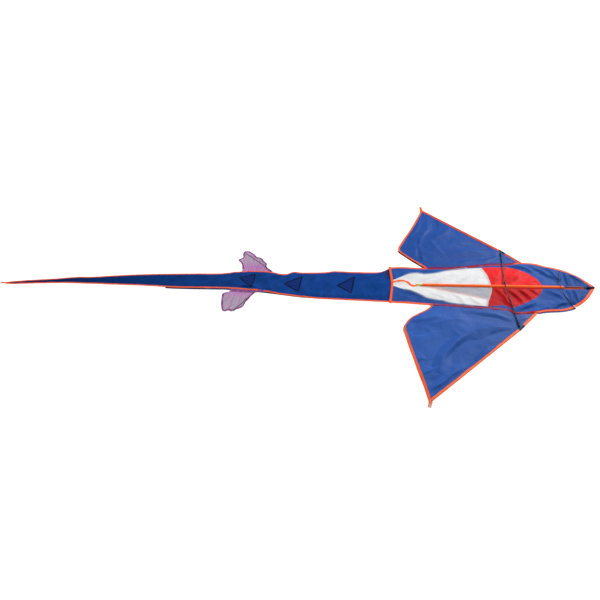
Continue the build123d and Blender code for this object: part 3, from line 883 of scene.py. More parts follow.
wing_creases = {
    "left": [
        ([(0.158, 0.245), (0.153, 0.31), (0.165, 0.42)], 0.008, -0.004),
        ([(0.166, 0.26), (0.178, 0.235)], 0.006, 0.004),
        ([(0.14, 0.25), (0.15, 0.33), (0.2, 0.44)], 0.009, 0.003),
        ([(0.2, 0.43), (0.24, 0.5), (0.285, 0.63)], 0.016, -0.005),
        ([(0.175, 0.4), (0.21, 0.52), (0.24, 0.66)], 0.014, 0.003),
        ([(0.26, 0.42), (0.33, 0.52), (0.35, 0.58)], 0.014, 0.003),
        ([(0.61, 0.335), (0.5, 0.365), (0.36, 0.37)], 0.014, -0.004),
        ([(0.62, 0.31), (0.48, 0.32), (0.33, 0.28)], 0.015, 0.004),
        ([(0.62, 0.29), (0.5, 0.25), (0.33, 0.24)], 0.012, -0.003),
        ([(0.62, 0.28), (0.52, 0.225), (0.38, 0.195)], 0.011, 0.003),
        ([(0.61, 0.255), (0.55, 0.215), (0.48, 0.2)], 0.008, -0.002),
        ([(0.66, 0.27), (0.7, 0.22)], 0.007, 0.002),
        ([(0.1, 0.44), (0.16, 0.56), (0.19, 0.7)], 0.012, 0.003),
        ([(0.3, 0.28), (0.26, 0.36), (0.24, 0.42)], 0.014, 0.003),
        ([(0.22, 0.175), (0.33, 0.19), (0.45, 0.2)], 0.01, 0.002),
    ],
    "right": [
        ([(0.185, -0.58), (0.215, -0.47), (0.27, -0.4), (0.33, -0.36)], 0.018, -0.006),
        ([(0.225, -0.62), (0.265, -0.5), (0.33, -0.41), (0.41, -0.33)], 0.02, 0.007),
        ([(0.29, -0.58), (0.34, -0.47), (0.42, -0.39)], 0.016, -0.004),
        ([(0.13, -0.56), (0.18, -0.49), (0.22, -0.42)], 0.01, -0.004),
        ([(0.127, -0.54), (0.168, -0.505)], 0.006, 0.004),
        ([(0.155, -0.625), (0.2, -0.59)], 0.006, 0.004),
        ([(0.165, -0.61), (0.21, -0.565)], 0.007, -0.003),
        ([(0.19, -0.70), (0.27, -0.655)], 0.007, 0.004),
        ([(0.18, -0.68), (0.25, -0.63)], 0.007, -0.003),
        ([(0.36, -0.572), (0.43, -0.505), (0.51, -0.435)], 0.006, 0.004),
        ([(0.34, -0.57), (0.42, -0.49), (0.5, -0.42)], 0.008, -0.003),
        ([(0.26, -0.66), (0.33, -0.595), (0.38, -0.545)], 0.007, 0.003),
        ([(0.61, -0.3), (0.5, -0.3), (0.36, -0.345)], 0.013, 0.004),
        ([(0.6, -0.32), (0.5, -0.35), (0.44, -0.4)], 0.011, -0.003),
        ([(0.62, -0.275), (0.5, -0.235), (0.36, -0.22)], 0.013, -0.003),
        ([(0.62, -0.255), (0.52, -0.205), (0.42, -0.19)], 0.01, 0.003),
        ([(0.66, -0.26), (0.7, -0.215)], 0.007, 0.002),
        ([(0.08, -0.36), (0.14, -0.37), (0.2, -0.35)], 0.012, -0.003),
        ([(0.1, -0.28), (0.18, -0.27), (0.26, -0.24)], 0.012, 0.003),
        ([(0.2, -0.3), (0.3, -0.27), (0.4, -0.27)], 0.013, 0.002),
    ],
}


# The wing's root seam at stations along it, and the leading-edge rod's line, x + 0.993 |y| = 0.93.
wing_root_y = ([0.2, 0.4, 0.54, 0.74], [0.153, 0.165, 0.188, 0.205])
root_hold = 0.035
rod_line = (0.93, 0.993)
rod_hold = 0.03


def wing_height(x, y):
    """How high the cloth of the wings lies; the root seam and the leading-edge rod hold it down."""
    creases = wing_creases["left" if y.mean() > 0 else "right"]
    free = np.clip((np.abs(y) - np.interp(x, *wing_root_y)) / root_hold, 0, 1)
    ahead = np.clip((rod_line[0] - x - np.abs(y) * rod_line[1]) / rod_hold, 0, 1)
    shift = 0.01 * crumple(x, y, 0.09, 51)
    folds = 0.0024 * crumple(x, y, 0.08, 52) + 0.0010 * crumple(x, y, 0.03, 53)
    for route, width, height in creases:
        folds = folds + wing_relief * crease(x + shift, y - shift, route, width, height)
    lift = panel_rest + 0.0012 + folds * free * (0.25 + 0.75 * ahead)
    return np.clip(lift, 0.0015, under_rods(x, y))


def from_end(start, end, distance):
    """The plan point at a distance from start towards end."""
    run = np.subtract(end, start)
    return tuple(float(v) for v in np.asarray(start) + run / np.linalg.norm(run) * distance)


def on_ground(x, y):
    """The level of the ground, for pieces whose section gives their full height."""
    return x * 0


wing_blue = {
    "left": ripstop("left_wing_ripstop", (0.008, 0.055, 0.26), (0.017, 0.083, 0.36), (0.02, 0.09, 0.4)),
    # The right wing is a lighter copy of the same blue that deepens towards its front: painted light, for the
    # sheen and the fall of light across that wing.
    "right": ripstop(
        "right_wing_ripstop_painted_light",
        (0.018, 0.092, 0.38),
        (0.036, 0.135, 0.54),
        (0.04, 0.15, 0.56),
        0.4,
        dims=(0.2, 0.95),
    ),
}
edge_tape = binding("wing_edge_tape", 0.0105)
sleeve_edge = {
    "left": binding("left_leading_edge_tape", 0.022, low=(0.94, 0.06, 0.003), high=(0.99, 0.11, 0.008)),
    "right": binding("right_leading_edge_tape", 0.022, low=(0.94, 0.13, 0.03), high=(0.99, 0.24, 0.07)),
}
pale_webbing = ripstop(
    "pale_webbing", (0.75, 0.36, 0.28), (0.88, 0.5, 0.42), (0.9, 0.6, 0.5), roughness=0.6
)
# Painted shade: the dark colour of the strip behind the left wing's trailing tape.
under_tape = ripstop(
    "shaded_under_tape", (0.05, 0.012, 0.03), (0.11, 0.02, 0.05), (0.1, 0.03, 0.08), 0.6, 0.05
)
root_tuck = 0.004
root_seam_rear_x = 0.21
root_seam_front_x = 0.72
root_tape_half = {"left": 0.0095, "right": 0.008}
tip_tape_half = {"left": 0.0115, "right": 0.015}
inner_sleeve_start = {"left": 0.012, "right": 0.003}
bare_before_bend = 0.036
bare_after_bend = 0.007
bare_at_tip = 0.002
sleeve_round_rod = [
    (10.0, 3.4), (6.0, 2.8), (3.6, 1.0), (0.0, 0.4), (-3.0, 1.4), (-4.3, 4.4), (-3.2, 7.6), (0.0, 9.0),
    (3.2, 8.4), (5.6, 6.6), (7.8, 5.6), (10.0, 5.2),
]
tab_section = [(-0.0085, 0.0016), (-0.0076, 0.0044), (0, 0.0066), (0.0076, 0.0044), (0.0085, 0.0016)]
tab_route = {
    "left": [(0.190, 0.742), (0.188, 0.772), (0.183, 0.802)],
    "right": [(0.180, -0.758), (0.176, -0.78), (0.171, -0.803)],
}
for side, sign, root_edge in (("left", 1, left_edge), ("right", -1, right_edge)):
    wing = f"{side}_wing"
    at_root, at_bend, at_tip = [(x, sign * y) for x, y in (rod_root, rod_bend, rod_tip)]
    seam = [point for point in root_edge if root_seam_rear_x < point[0] < root_seam_front_x]
    seam = [(x, y - sign * root_tuck) for x, y in seam]
    root = [wing_trailing_edge[side][-1], *seam, at_root]
    tip_edge = [at_tip] + wing_tip_edge[side][1:]
    runs = [root, [at_root, at_bend], [at_bend, at_tip], tip_edge, wing_trailing_edge[side]]

    sail, size, area = cut_cloth(f"wing_cloth_{side}", runs, wing_height, cloth_grain, wing_blue[side])
    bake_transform(sail)
    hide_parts(f"wing_sail_{side}")

    for kind, route, width in (
        ("root", wing_trailing_edge[side], root_tape_half[side]),
        ("tip", wing_tip_edge[side], tip_tape_half[side]),
    ):
        section = fold_section(width, sign)
        tape, size = swept_strip(
            f"wing_{kind}_tape_cloth_{side}", route, section, wing_height, edge_tape, seed=61
        )
        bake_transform(tape)
        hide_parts(f"wing_{kind}_tape_{side}")

    tube = for_side([(across / 1000, rise / 1000) for across, rise in sleeve_round_rod], sign)
    inner_start = from_end(at_root, at_bend, inner_sleeve_start[side])
    inner_end = from_end(at_bend, at_root, bare_before_bend)
    outer_start = from_end(at_bend, at_tip, bare_after_bend)
    outer_end = from_end(at_tip, at_bend, bare_at_tip)
    stretches = {"inner": (inner_start, inner_end), "outer": (outer_start, outer_end)}
    for name, stretch in stretches.items():
        casing, size = swept_strip(
            f"leading_edge_{name}_sleeve_{side}",
            stretch,
            tube,
            on_ground,
            sleeve_edge[side],
            sway=0.03,
            seed=65,
        )
        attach(casing, wing)
        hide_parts(f"leading_edge_sleeve_{side}")

    tab_finish = {"left": edge_tape, "right": pale_webbing}[side]
    tab, size = swept_strip(
        f"tip_tab_cloth_{side}", tab_route[side], tab_section, on_ground, tab_finish, seed=67
    )
    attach(tab, wing)
    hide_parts(f"tip_tab_{side}")

# The left wing's turned edge: a dark strip whose colour is painted shade under the trailing tape.
turned_shift = 0.0015
turned_route = [(x - turned_shift, y - turned_shift) for x, y in wing_trailing_edge["left"]]
turned_profile = [(-0.006, 0.0006), (-0.003, 0.001), (0.003, 0.001), (0.006, 0.0006)]
turned, size = swept_strip(
    "wing_turned_edge_shade_left", turned_route, turned_profile, on_ground, under_tape, seed=69
)
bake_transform(turned)

# ------------------------------------------------------------------ spreader tie
# A loop of thin blue cord is knotted through the sleeve and holds the spreader's joiner beside the spine.

tie_low, tie_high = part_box("spreader_tie")
joiner_low, joiner_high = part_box("spreader_joiner")
tie_cord = moulded("blue_tie_cord", (0.01, 0.05, 0.2), (0.03, 0.11, 0.36), 0.6, 1500)
loop_points = [
    (joiner_low.x + 0.004, tie_low.y - 0.009, 0.0142),
    (joiner_high.x + 0.003, tie_low.y - 0.005, 0.0150),
    (joiner_high.x + 0.0065, tie_low.y + 0.004, 0.0148),
    (joiner_high.x + 0.004, tie_low.y + 0.013, 0.0115),
    (joiner_low.x + 0.004, tie_high.y - 0.003, 0.0068),
]
loop_curve = bpy.data.curves.new("tie_loop", "CURVE")
loop_curve.dimensions = "3D"
loop_curve.bevel_depth = 0.0013
loop_curve.bevel_resolution = 4
spline = loop_curve.splines.new("NURBS")
spline.points.add(len(loop_points) - 1)
for point, place in zip(spline.points, loop_points):
    point.co = (*place, 1)
spline.order_u = 3
spline.use_endpoint_u = True
loop_curve.materials.append(tie_cord)
tie = bpy.data.objects.new("tie_loop", loop_curve)
bpy.context.scene.collection.objects.link(tie)
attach(tie, "fuselage")
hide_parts("spreader_tie")

# ------------------------------------------------------------------ keel
# Under the body hangs a triangular keel of blue ripstop, edged with tape, with a dark patch at its apex.
# It is folded flat under the right half, so its rear tape shows through the white cloth.

keel_rear = (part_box("keel_rear_tape")[0].x - seam_x, -0.001)
keel_front = (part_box("keel_front_tape")[1].x - seam_x, -0.001)
patch_low, patch_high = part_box("keel_apex_patch")
eyelet_low, eyelet_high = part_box("tow_eyelet")
eyelet_middle = ((eyelet_low.x + eyelet_high.x) / 2 - seam_x, (eyelet_low.y + eyelet_high.y) / 2)
keel_apex = (eyelet_middle[0], patch_low.y)


def keel_height(x, y):
    """The keel lies pressed flat."""
    return 0.0012 + 0.0002 * crumple(x, y, 0.05, 71)


def at_side(start, end, y):
    """The point of the line from start to end that lies at y."""
    share = (y - start[1]) / (end[1] - start[1])
    return (start[0] + (end[0] - start[0]) * share, y)


patch_rear = at_side(keel_rear, keel_apex, patch_high.y)
patch_front = at_side(keel_front, keel_apex, patch_high.y)
keel_corners = [keel_rear, patch_rear, patch_front, keel_front]
keel_runs = [list(pair) for pair in zip(keel_corners, keel_corners[1:] + keel_corners[:1])]
keel_grain = 0.008
keel_cloth, size, area = cut_cloth("keel_cloth", keel_runs, keel_height, keel_grain, body_blue)
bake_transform(keel_cloth)
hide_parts("keel_sail")

for name, route, inner in (
    ("rear", [keel_rear, patch_rear], 1),
    ("front", [keel_front, patch_front], -1),
):
    section = fold_section(tape_half, inner, 0.0007)
    tape, size = swept_strip(
        f"keel_{name}_tape_cloth", route, section, keel_height, plain_tape, seed=73
    )
    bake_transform(tape)
    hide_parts(f"keel_{name}_tape")

turns = np.radians(np.arange(1, 360, 7.5))
patch_corners = np.array([patch_rear, keel_apex, patch_front])
hole = (eyelet_high.x - eyelet_low.x) / 2 - 0.001
ring_shares = (0, 0.35, 0.7, 1)
patch_lift = 0.0019
patch_rim_lift = 0.0005
points, flat = [], []
for turn in turns:
    ray = np.array([np.cos(turn), np.sin(turn)])
    reach = 1.0
    for first, second in zip(patch_corners, np.roll(patch_corners, -1, axis=0)):
        side_run = second - first
        across = ray[0] * side_run[1] - ray[1] * side_run[0]
        gap = first - eyelet_middle
        distance = (gap[0] * side_run[1] - gap[1] * side_run[0]) / across
        if distance > 0:
            reach = min(reach, distance)
    for share in ring_shares:
        x, y = np.asarray(eyelet_middle) + ray * (hole + (reach - hole) * share)
        points.append((x + seam_x, y, patch_lift if share < 1 else patch_rim_lift))
        flat.append((x, y))
ring_count = len(ring_shares)
faces = []
for i in range(len(turns)):
    here = ring_count * i
    beside = ring_count * ((i + 1) % len(turns))
    for k in range(ring_count - 1):
        faces.append((here + k, here + k + 1, beside + k + 1, beside + k))
patch = cloth_mesh("keel_apex_cloth", points, faces, flat, webbing)
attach(patch, "keel")
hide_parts("keel_apex_patch")

# ------------------------------------------------------------------ tail
# The tail is a long taper of the same blue ripstop with folded tape down both edges. It is laid out behind
# the body with a pleat at its front left corner. It folds softly, and is made here in four lengths.

tail_left = [
    (0.006, 0.153), (-0.016, 0.151), (-0.03, 0.140), (-0.048, 0.126), (-0.066, 0.113), (-0.1, 0.109),
    (-0.18, 0.109), (-0.26, 0.112), (-0.35, 0.116), (-0.385, 0.110), (-0.42, 0.104), (-0.55, 0.099),
    (-0.6, 0.104), (-0.625, 0.099), (-0.65, 0.085), (-0.695, 0.084), (-0.74, 0.096), (-0.8, 0.107),
    (-0.9, 0.107), (-0.98, 0.099), (-1.06, 0.085), (-1.11, 0.079), (-1.25, 0.077), (-1.5, 0.069),
    (-1.75, 0.054), (-2.0, 0.029), (-2.12, 0.025), (-2.3, 0.002), (-2.45, -0.012), (-2.6, -0.03),
    (-2.7, -0.0465),
]
tail_right = [
    (0.006, -0.140), (-0.012, -0.142), (-0.2, -0.136), (-0.4, -0.130), (-0.48, -0.124), (-0.55, -0.115),
    (-0.65, -0.101), (-0.75, -0.084), (-0.85, -0.068), (-0.95, -0.059), (-1.05, -0.057), (-1.2, -0.060),
    (-1.35, -0.061), (-1.45, -0.056), (-1.6, -0.049), (-1.8, -0.045), (-2.0, -0.041), (-2.2, -0.040),
    (-2.35, -0.046), (-2.5, -0.054), (-2.6, -0.060), (-2.7, -0.0495),
]
tail_creases = [
    ([(-0.03, 0.14), (-0.04, 0.1), (-0.05, 0.04)], 0.01, -0.004),
    ([(-0.045, 0.12), (-0.06, 0.09), (-0.08, 0.03)], 0.01, 0.004),
    ([(-0.07, 0.105), (-0.12, 0.07), (-0.18, 0.06)], 0.012, 0.003),
    ([(-0.14, -0.04), (-0.1, 0.0), (-0.05, 0.02)], 0.016, 0.002),
    ([(-0.42, 0.09), (-0.47, 0.02), (-0.48, -0.05)], 0.014, 0.003),
    ([(-0.62, 0.09), (-0.64, 0.05), (-0.69, 0.02)], 0.01, 0.004),
    ([(-0.66, 0.08), (-0.69, 0.05), (-0.74, 0.03)], 0.008, -0.003),
    ([(-0.7, 0.08), (-0.76, 0.05), (-0.83, 0.02)], 0.01, 0.003),
    ([(-0.7, -0.08), (-0.74, -0.04), (-0.77, 0.03)], 0.014, 0.004),
    ([(-0.83, 0.095), (-0.86, 0.05), (-0.87, -0.03)], 0.01, -0.003),
    ([(-0.8, -0.07), (-0.85, -0.03), (-0.95, -0.03)], 0.01, 0.004),
    ([(-0.84, -0.055), (-0.92, -0.04), (-1.02, -0.02)], 0.008, -0.003),
    ([(-0.93, 0.08), (-0.99, 0.03), (-1.06, 0.01)], 0.01, 0.003),
    ([(-1.05, 0.07), (-1.15, 0.05), (-1.3, 0.06)], 0.01, 0.002),
    ([(-1.1, -0.04), (-1.25, -0.02), (-1.4, -0.03)], 0.012, 0.002),
]
# Small puckers where the edge tapes draw the cloth in.
for pucker in np.arange(-0.52, -0.05, 0.037):
    tail_creases.append(([(pucker, -0.118), (pucker + 0.022, -0.09), (pucker + 0.03, -0.065)], 0.007, 0.0025))
for pucker in np.arange(-1.0, -0.72, 0.045):
    tail_creases.append(([(pucker, 0.095), (pucker - 0.02, 0.065)], 0.007, 0.002))
tail_relief = 2.8
tail_lowest = 0.0012
tail_rest = 0.0021
tail_highest = 0.011


def tail_height(x, y):
    """How high the tail's cloth lies; it is sewn flat at the rear of the body."""
    shift = 0.005 * crumple(x, y, 0.06, 81)
    folds = 0.0007 * crumple(x, y, 0.05, 82) + 0.0004 * crumple(x, y, 0.02, 83)
    for route, width, height in tail_creases:
        folds = folds + tail_relief * crease(x + shift, y + shift, route, width, height)
    loose = np.clip((x + 0.012) / -0.03, 0, 1)
    return np.clip(tail_rest + folds * loose, tail_lowest, tail_highest)


def edge_between(edge, front_x, back_x, step):
    """The stretch of a tail edge from front_x back to back_x."""
    line = curve_through(edge, 0.004)
    places = np.linspace(front_x, back_x, int(np.ceil((front_x - back_x) / step)) + 1)
    return [(float(x), float(np.interp(-x, -line[:, 0], line[:, 1]))) for x in places]


tail_blue = ripstop(
    "tail_ripstop",
    (0.002, 0.03, 0.15),
    (0.018, 0.09, 0.4),
    (0.016, 0.08, 0.36),
    0.7,
    gloss=0.0,
    dims=(-0.6, -2.4),
)
# Painted shade: this dark blue stands for the shade in the tail's front pleat and under its turned edges.
shaded_turned_blue = ripstop("shaded_turned_ripstop", (0.002, 0.025, 0.13), (0.004, 0.036, 0.18), (0.005, 0.04, 0.2), 0.6)
tail_tape = binding("tail_tape", 0.01)
# The first stretch of the left tail tape is painted deep red as shade, where it lies over blue cloth.
shaded_tape = binding("tail_tape_painted_shade", 0.01, painted_shade_stretch=(0.0, 0.075))


def over_tail(x, y):
    """Just above the tail's cloth."""
    return tail_height(x, y) + 0.0005


# The pleat at the tail's front left corner, and the turned edge that shows outside its right tape. Both are
# dark cloth whose colour is painted shade: the shade in the pleat and under the turned edge.
pleat_corners = [(-0.018, 0.148), (-0.066, 0.112), (-0.05, 0.085), (-0.02, 0.05), (-0.012, 0.08)]
pleat_runs = [list(pair) for pair in zip(pleat_corners, pleat_corners[1:] + pleat_corners[:1])]
pleat, _, _ = cut_cloth("tail_front_shaded_pleat", pleat_runs, over_tail, cloth_grain, shaded_turned_blue)
turned_edges = {1: [pleat], 2: [], 3: [], 4: []}
under_section = [(-0.007, 0.0006), (-0.003, 0.0009), (0.003, 0.0009), (0.007, 0.0006)]
for number, route in (
    (2, [(-0.43, -0.120), (-0.55, -0.111), (-0.65, -0.097), (-0.8, -0.078), (-1.02, -0.062)]),
    (3, [(-1.02, -0.062), (-1.2, -0.064), (-1.35, -0.064), (-1.43, -0.060)]),
):
    strip, _ = swept_strip(
        f"tail_shaded_turned_edge_{number}", route, under_section, on_ground, shaded_turned_blue, seed=87
    )
    turned_edges[number].append(strip)

# Each length is its front and back, the bodies before and after its fold, and where the fold starts and ends.
tail_lengths = [
    (0.004, -0.345, "fuselage", "tail_1", -0.02, -0.085),
    (-0.345, -1.02, "tail_1", "tail_2", -0.662, -0.735),
    (-1.02, -1.69, "tail_2", "tail_3", -1.30, -1.40),
    (-1.69, -2.7, "tail_3", "tail_4", -1.97, -2.08),
]
tail_tape_width = {"left": 0.0095, "right": 0.0105}
tape_step = 0.012
for number, (front_x, back_x, before, after, bend_start, bend_end) in enumerate(tail_lengths, 1):
    grain = 0.006 if number < 3 else 0.009
    tape_front_x = front_x - 0.02 if number == 1 else front_x + 0.002
    upper = edge_between(tail_left, front_x, back_x, grain)
    lower = edge_between(tail_right, front_x, back_x, grain)
    runs = [upper, [upper[-1], lower[-1]], backwards(lower), [lower[0], upper[0]]]
    cloth, size, area = cut_cloth(f"tail_cloth_{number}", runs, tail_height, grain, tail_blue)
    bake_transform(cloth)
    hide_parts(f"tail_sail_{number}")
    for extra in turned_edges[number]:
        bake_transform(extra)
    for side, edge, inner in (("left", tail_left, 1), ("right", tail_right, -1)):
        route = edge_between(edge, tape_front_x, back_x, tape_step)
        section = fold_section(tail_tape_width[side], inner, 0.0007)
        ribbon = shaded_tape if (side, number) == ("left", 1) else tail_tape
        tape, size = swept_strip(
            f"tail_tape_{side}_{number}", route, section, tail_height, ribbon, seed=85
        )
        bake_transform(tape)
        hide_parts(f"tail_edge_tape_{number}")

# ------------------------------------------------------------------ tail patches
# Three triangles of deep violet-blue cloth are sewn on the tail, pointing to its tip, for looks.
# Each is turned under at its edges and sewn with dark thread.

patch_cloth = ripstop(
    "violet_patch_ripstop",
    (0.008, 0.026, 0.15),
    (0.016, 0.044, 0.22),
    (0.02, 0.05, 0.26),
    0.7,
    0.06,
    gloss=0.0,
)
patch_edge = ripstop(
    "violet_patch_edge", (0.003, 0.008, 0.04), (0.006, 0.014, 0.06), (0.008, 0.02, 0.07), 0.7, gloss=0.0
)
dark_thread = thread("dark_thread", (0.004, 0.006, 0.03))
hem_share = 0.95
patch_hem_section = [(-0.003, 0.0002), (-0.0015, 0.0007), (0.0015, 0.0007), (0.003, 0.0002)]


def over_hem(x, y):
    """Just above a patch's hem."""
    return over_tail(x, y) + 0.0007


tail_patches = [
    ("front", "tail_1", [(-0.327, -0.012), (-0.225, 0.070), (-0.234, -0.080)]),
    ("front", "tail_1", [(-0.656, -0.006), (-0.550, 0.065), (-0.550, -0.076)]),
    ("rear", "tail_2", [(-0.955, 0.041), (-0.855, 0.078), (-0.852, -0.045)]),
]
for number, (group, body, corners) in enumerate(tail_patches, 1):
    sides = [list(pair) for pair in zip(corners, corners[1:] + corners[:1])]
    triangle, size, area = cut_cloth(f"tail_patch_{number}", sides, over_tail, cloth_grain, patch_cloth)
    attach(triangle, body)
    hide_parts(f"tail_patches_{group}")
    middle = np.mean(corners, axis=0)
    hems = []
    for place, pair in enumerate(sides):
        inset = [tuple(middle + (np.asarray(corner) - middle) * hem_share) for corner in pair]
        hem, _ = swept_strip(
            f"patch_hem_{number}_{place}", inset, patch_hem_section, over_tail, patch_edge, sway=0.3, seed=89
        )
        row = stitch_row(f"patch_stitches_{number}_{place}", inset, over_hem, dark_thread)
        for extra in (hem, row):
            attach(extra, body)
            hems.append(extra)

# ------------------------------------------------------------------ tail fins
# Two small fins of sheer mauve chiffon flutter at the tail's edges. They are gathered at the root and have
# ragged outer edges with magenta rims. A thin rod in a narrow pocket stiffens each one.


def chiffon(name, low, high, streak, clear, drawn):
    """Sheer chiffon with streaks that follow its gathers, more of them near the root.

    clear is how much it is seen through, and drawn the level at which a streak starts.
    """
    made, tree, surface = blank_finish(name)
    rays = join_nodes(tree, "ShaderNodeUVMap", {}, uv_map="cut").outputs["UV"]
    stretched = join_nodes(
        tree, "ShaderNodeMapping", {"Vector": rays, "Scale": (90.0, 7.0, 1.0)}
    ).outputs["Vector"]
    grain = join_nodes(tree, "ShaderNodeTexNoise", {"Vector": stretched, "Scale": 1.0, "Detail": 5.0})
    tone = two_tones(tree, grain.outputs["Fac"], low, high)
    out = join_nodes(tree, "ShaderNodeSeparateXYZ", {"Vector": rays}).outputs["Y"]
    near_root = join_nodes(
        tree,
        "ShaderNodeMapRange",
        {"Value": out, "From Min": 0.08, "From Max": 0.22, "To Min": 0.14, "To Max": -0.05},
    ).outputs["Result"]
    drawing = join_nodes(
        tree, "ShaderNodeMath", {0: grain.outputs["Fac"], 1: near_root}, operation="ADD"
    ).outputs[0]
    band = join_nodes(
        tree, "ShaderNodeMapRange", {"Value": drawing, "From Min": drawn, "From Max": drawn + 0.12}
    ).outputs["Result"]
    mix = join_nodes(tree, "ShaderNodeMix", {"Factor": band, 6: tone}, data_type="RGBA")
    mix.inputs[7].default_value = (*streak, 1)
    bump = join_nodes(
        tree, "ShaderNodeBump", {"Height": grain.outputs["Fac"], "Strength": 0.6, "Distance": 0.0008}
    )
    front = join_nodes(
        tree,
        "ShaderNodeBsdfPrincipled",
        {"Base Color": mix.outputs[2], "Roughness": 0.5, "Normal": bump.outputs["Normal"]},
    )
    through = join_nodes(tree, "ShaderNodeBsdfTranslucent", {"Color": mix.outputs[2]})
    both = join_nodes(tree, "ShaderNodeMixShader", {0: 0.35, 1: front.outputs[0], 2: through.outputs[0]})
    hole = join_nodes(tree, "ShaderNodeBsdfTransparent", {})
    sheer = join_nodes(tree, "ShaderNodeMixShader", {0: clear, 1: both.outputs[0], 2: hole.outputs[0]})
    tree.links.new(sheer.outputs[0], surface)
    return made


sheer_mauve = chiffon("mauve_chiffon", (0.16, 0.13, 0.19), (0.5, 0.4, 0.5), (0.4, 0.04, 0.38), 0.1, 0.48)
magenta = chiffon("magenta_chiffon", (0.4, 0.06, 0.38), (0.58, 0.14, 0.52), (0.22, 0.02, 0.22), 0.05, 0.56)
rod_chiffon = chiffon("chiffon_over_rod", (0.05, 0.03, 0.05), (0.1, 0.06, 0.1), (0.08, 0.02, 0.08), 0.05, 0.6)
fin_front = {
    "left": [
        (-0.748, 0.100), (-0.79, 0.136), (-0.803, 0.153), (-0.803, 0.176), (-0.828, 0.199), (-0.842, 0.222),
        (-0.856, 0.231), (-0.884, 0.243), (-0.905, 0.262), (-0.924, 0.280), (-0.945, 0.296), (-0.964, 0.309),
        (-0.984, 0.303),
    ],
    "right": [
        (-0.822, -0.070), (-0.828, -0.098), (-0.842, -0.128), (-0.854, -0.169), (-0.866, -0.208),
        (-0.894, -0.236), (-0.923, -0.254),
    ],
}
fin_rear = {
    "left": [
        (-0.984, 0.303), (-0.988, 0.271), (-0.979, 0.240), (-1.003, 0.222), (-1.000, 0.205), (-0.980, 0.186),
        (-0.968, 0.165), (-0.962, 0.150), (-0.956, 0.125), (-0.955, 0.090),
    ],
    "right": [
        (-0.923, -0.254), (-0.938, -0.246), (-0.950, -0.247), (-0.966, -0.257), (-0.983, -0.247),
        (-1.000, -0.212), (-1.012, -0.170), (-1.021, -0.130), (-1.022, -0.102), (-0.995, -0.090),
        (-0.980, -0.050),
    ],
}
fin_focus = {"left": (-0.875, 0.02), "right": (-0.92, 0.03)}


def fin_angle(side, x, y):
    """The turn of a point round the fin's gathers, and how far out it is."""
    middle_x, middle_y = fin_focus[side]
    return np.arctan2(x - middle_x, np.abs(y - middle_y)), np.hypot(x - middle_x, y - middle_y)


fin_rise = 0.0044


def fin_height(x, y):
    """Pleats that fan out from the root; the cloth is over its rod."""
    turn, out = fin_angle("left" if y.mean() > 0 else "right", x, y)
    far = np.clip((np.abs(y) - 0.1) / 0.05, 0, 1)
    pleats = 0.0026 * np.sin(turn * 26) + 0.0018 * crumple(turn, out * 0.3, 0.05, 91)
    return np.clip(tail_lowest + far * (fin_rise + pleats), tail_lowest, tail_highest)


def over_fin(x, y):
    """Just above the fin's cloth."""
    return fin_height(x, y) + 0.0003


def weave_along_gathers(cloth, side):
    """Turns the weave of a fin's cloth so that it fans out with the gathers."""
    spots = np.zeros(len(cloth.data.vertices) * 3, np.float32)
    cloth.data.vertices.foreach_get("co", spots)
    spots = spots.reshape(-1, 3)
    turn, out = fin_angle(side, spots[:, 0] - seam_x, spots[:, 1])
    loops = np.zeros(len(cloth.data.loops), int)
    cloth.data.loops.foreach_get("vertex_index", loops)
    fan = np.column_stack([turn * 0.25, out]).astype(np.float32)
    cloth.data.uv_layers["cut"].data.foreach_set("uv", fan[loops].ravel())


fin_root_y = {"left": 0.100, "right": -0.078}
fin_rod_tip = {"left": (-0.972, 0.282), "right": (-0.914, -0.246)}
rim_profile = [(-0.002, 0), (0.002, 0.0005), (0.008, 0)]
pocket_section = [(-0.0022, 0.0004), (-0.001, 0.001), (0.001, 0.001), (0.0022, 0.0004)]
gather_run = [(-0.76, -0.080), (-0.82, -0.084), (-0.9, -0.082), (-0.98, -0.078)]
gather_section = [(-0.011, 0.0), (-0.006, 0.0016), (0.0, 0.0008), (0.005, 0.0002)]
for side, sign in (("left", 1), ("right", -1)):
    front_edge, rear_edge = fin_front[side], fin_rear[side]
    root_y = fin_root_y[side]
    runs = [front_edge, rear_edge, [rear_edge[-1], front_edge[0]]]
    cloth, size, area = cut_cloth(f"fin_cloth_{side}", runs, fin_height, cloth_grain, sheer_mauve)
    weave_along_gathers(cloth, side)
    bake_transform(cloth)
    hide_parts(f"tail_fin_{side}")
    for place, route in (("front", front_edge), ("rear", rear_edge[:-1])):
        rim_section = for_side(rim_profile, sign)
        rim, _ = swept_strip(
            f"fin_rim_{place}_{side}", route, rim_section, over_fin, magenta, sway=0.5, seed=93
        )
        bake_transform(rim)
    pocket_run = [(front_edge[0][0] - 0.004, root_y + sign * 0.006), fin_rod_tip[side]]
    pocket, _ = swept_strip(
        f"fin_rod_pocket_{side}", pocket_run, pocket_section, over_fin, rod_chiffon, seed=95
    )
    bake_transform(pocket)
    if side == "right":
        gather, _ = swept_strip(
            "fin_gather_right",
            gather_run,
            gather_section,
            over_tail,
            magenta,
            loose=0.0012,
            sway=0.3,
            seed=97,
        )
        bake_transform(gather)

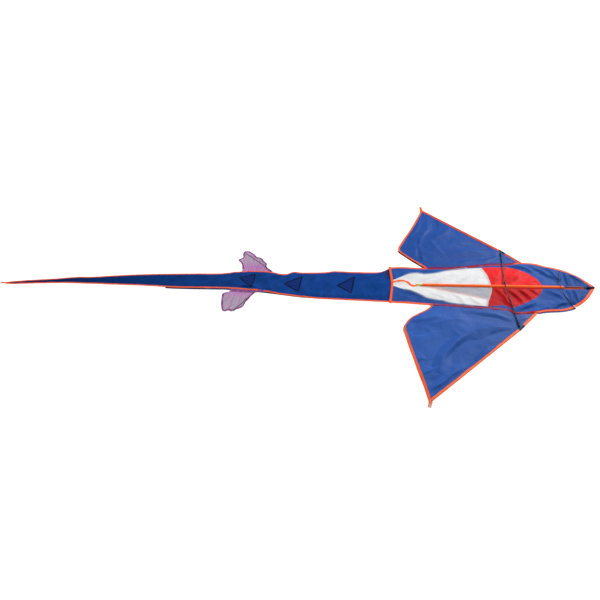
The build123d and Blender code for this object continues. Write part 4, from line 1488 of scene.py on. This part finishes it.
# ------------------------------------------------------------------ stage
# A pale floor under soft studio light, with the camera where the maker would stand by the right wing.

floor_finish, floor_tree, floor_surface = blank_finish("pale_floor")
matt = join_nodes(floor_tree, "ShaderNodeBsdfDiffuse", {"Color": (0.3, 0.3, 0.3, 1.0)})
lit = join_nodes(floor_tree, "ShaderNodeEmission", {"Color": (1.0, 1.0, 1.0, 1.0), "Strength": 0.97})
paper = join_nodes(floor_tree, "ShaderNodeAddShader", {0: matt.outputs[0], 1: lit.outputs[0]})
floor_tree.links.new(paper.outputs[0], floor_surface)
floor_reach = 40
floor_drop = 0.0005
floor_corners = [(x * floor_reach, y * floor_reach, 0) for x, y in ((-1, -1), (1, -1), (1, 1), (-1, 1))]
floor_mesh = bpy.data.meshes.new("floor")
floor_mesh.from_pydata(floor_corners, [], [(0, 1, 2, 3)])
floor_mesh.materials.append(floor_finish)
floor = bpy.data.objects.new("floor", floor_mesh)
bpy.context.scene.collection.objects.link(floor)
floor.location.z = -floor_drop

world = bpy.data.worlds.new("studio")
world.use_nodes = True
sky = world.node_tree.nodes["Background"]
sky.inputs["Color"].default_value = (1.0, 1.0, 1.0, 1.0)
sky.inputs["Strength"].default_value = 0.2
bpy.context.scene.world = world

lit_point = Vector((0.6, 0, 0))
for name, place, size, power in (
    ("window", (3.0, 2.2, 2.0), 1.2, 140),
    ("fill", (-2.0, 2.2, 2.4), 1.6, 70),
):
    lamp = bpy.data.lights.new(name, "AREA")
    lamp.energy = power
    lamp.size = size
    holder = bpy.data.objects.new(name, lamp)
    holder.location = place
    holder.rotation_euler = (lit_point - Vector(place)).to_track_quat("-Z", "Y").to_euler()
    bpy.context.scene.collection.objects.link(holder)

camera = bpy.data.objects.new("camera", bpy.data.cameras.new("camera"))
camera.data.lens = 25.8
camera.data.sensor_width = 36
camera.location = (seam_x - 0.0236, -1.8789, 1.7728)
camera.rotation_euler = np.radians((45.165, 7.169, 9.218))
bpy.context.scene.collection.objects.link(camera)
bpy.context.scene.camera = camera
bpy.context.scene.view_settings.view_transform = "Standard"
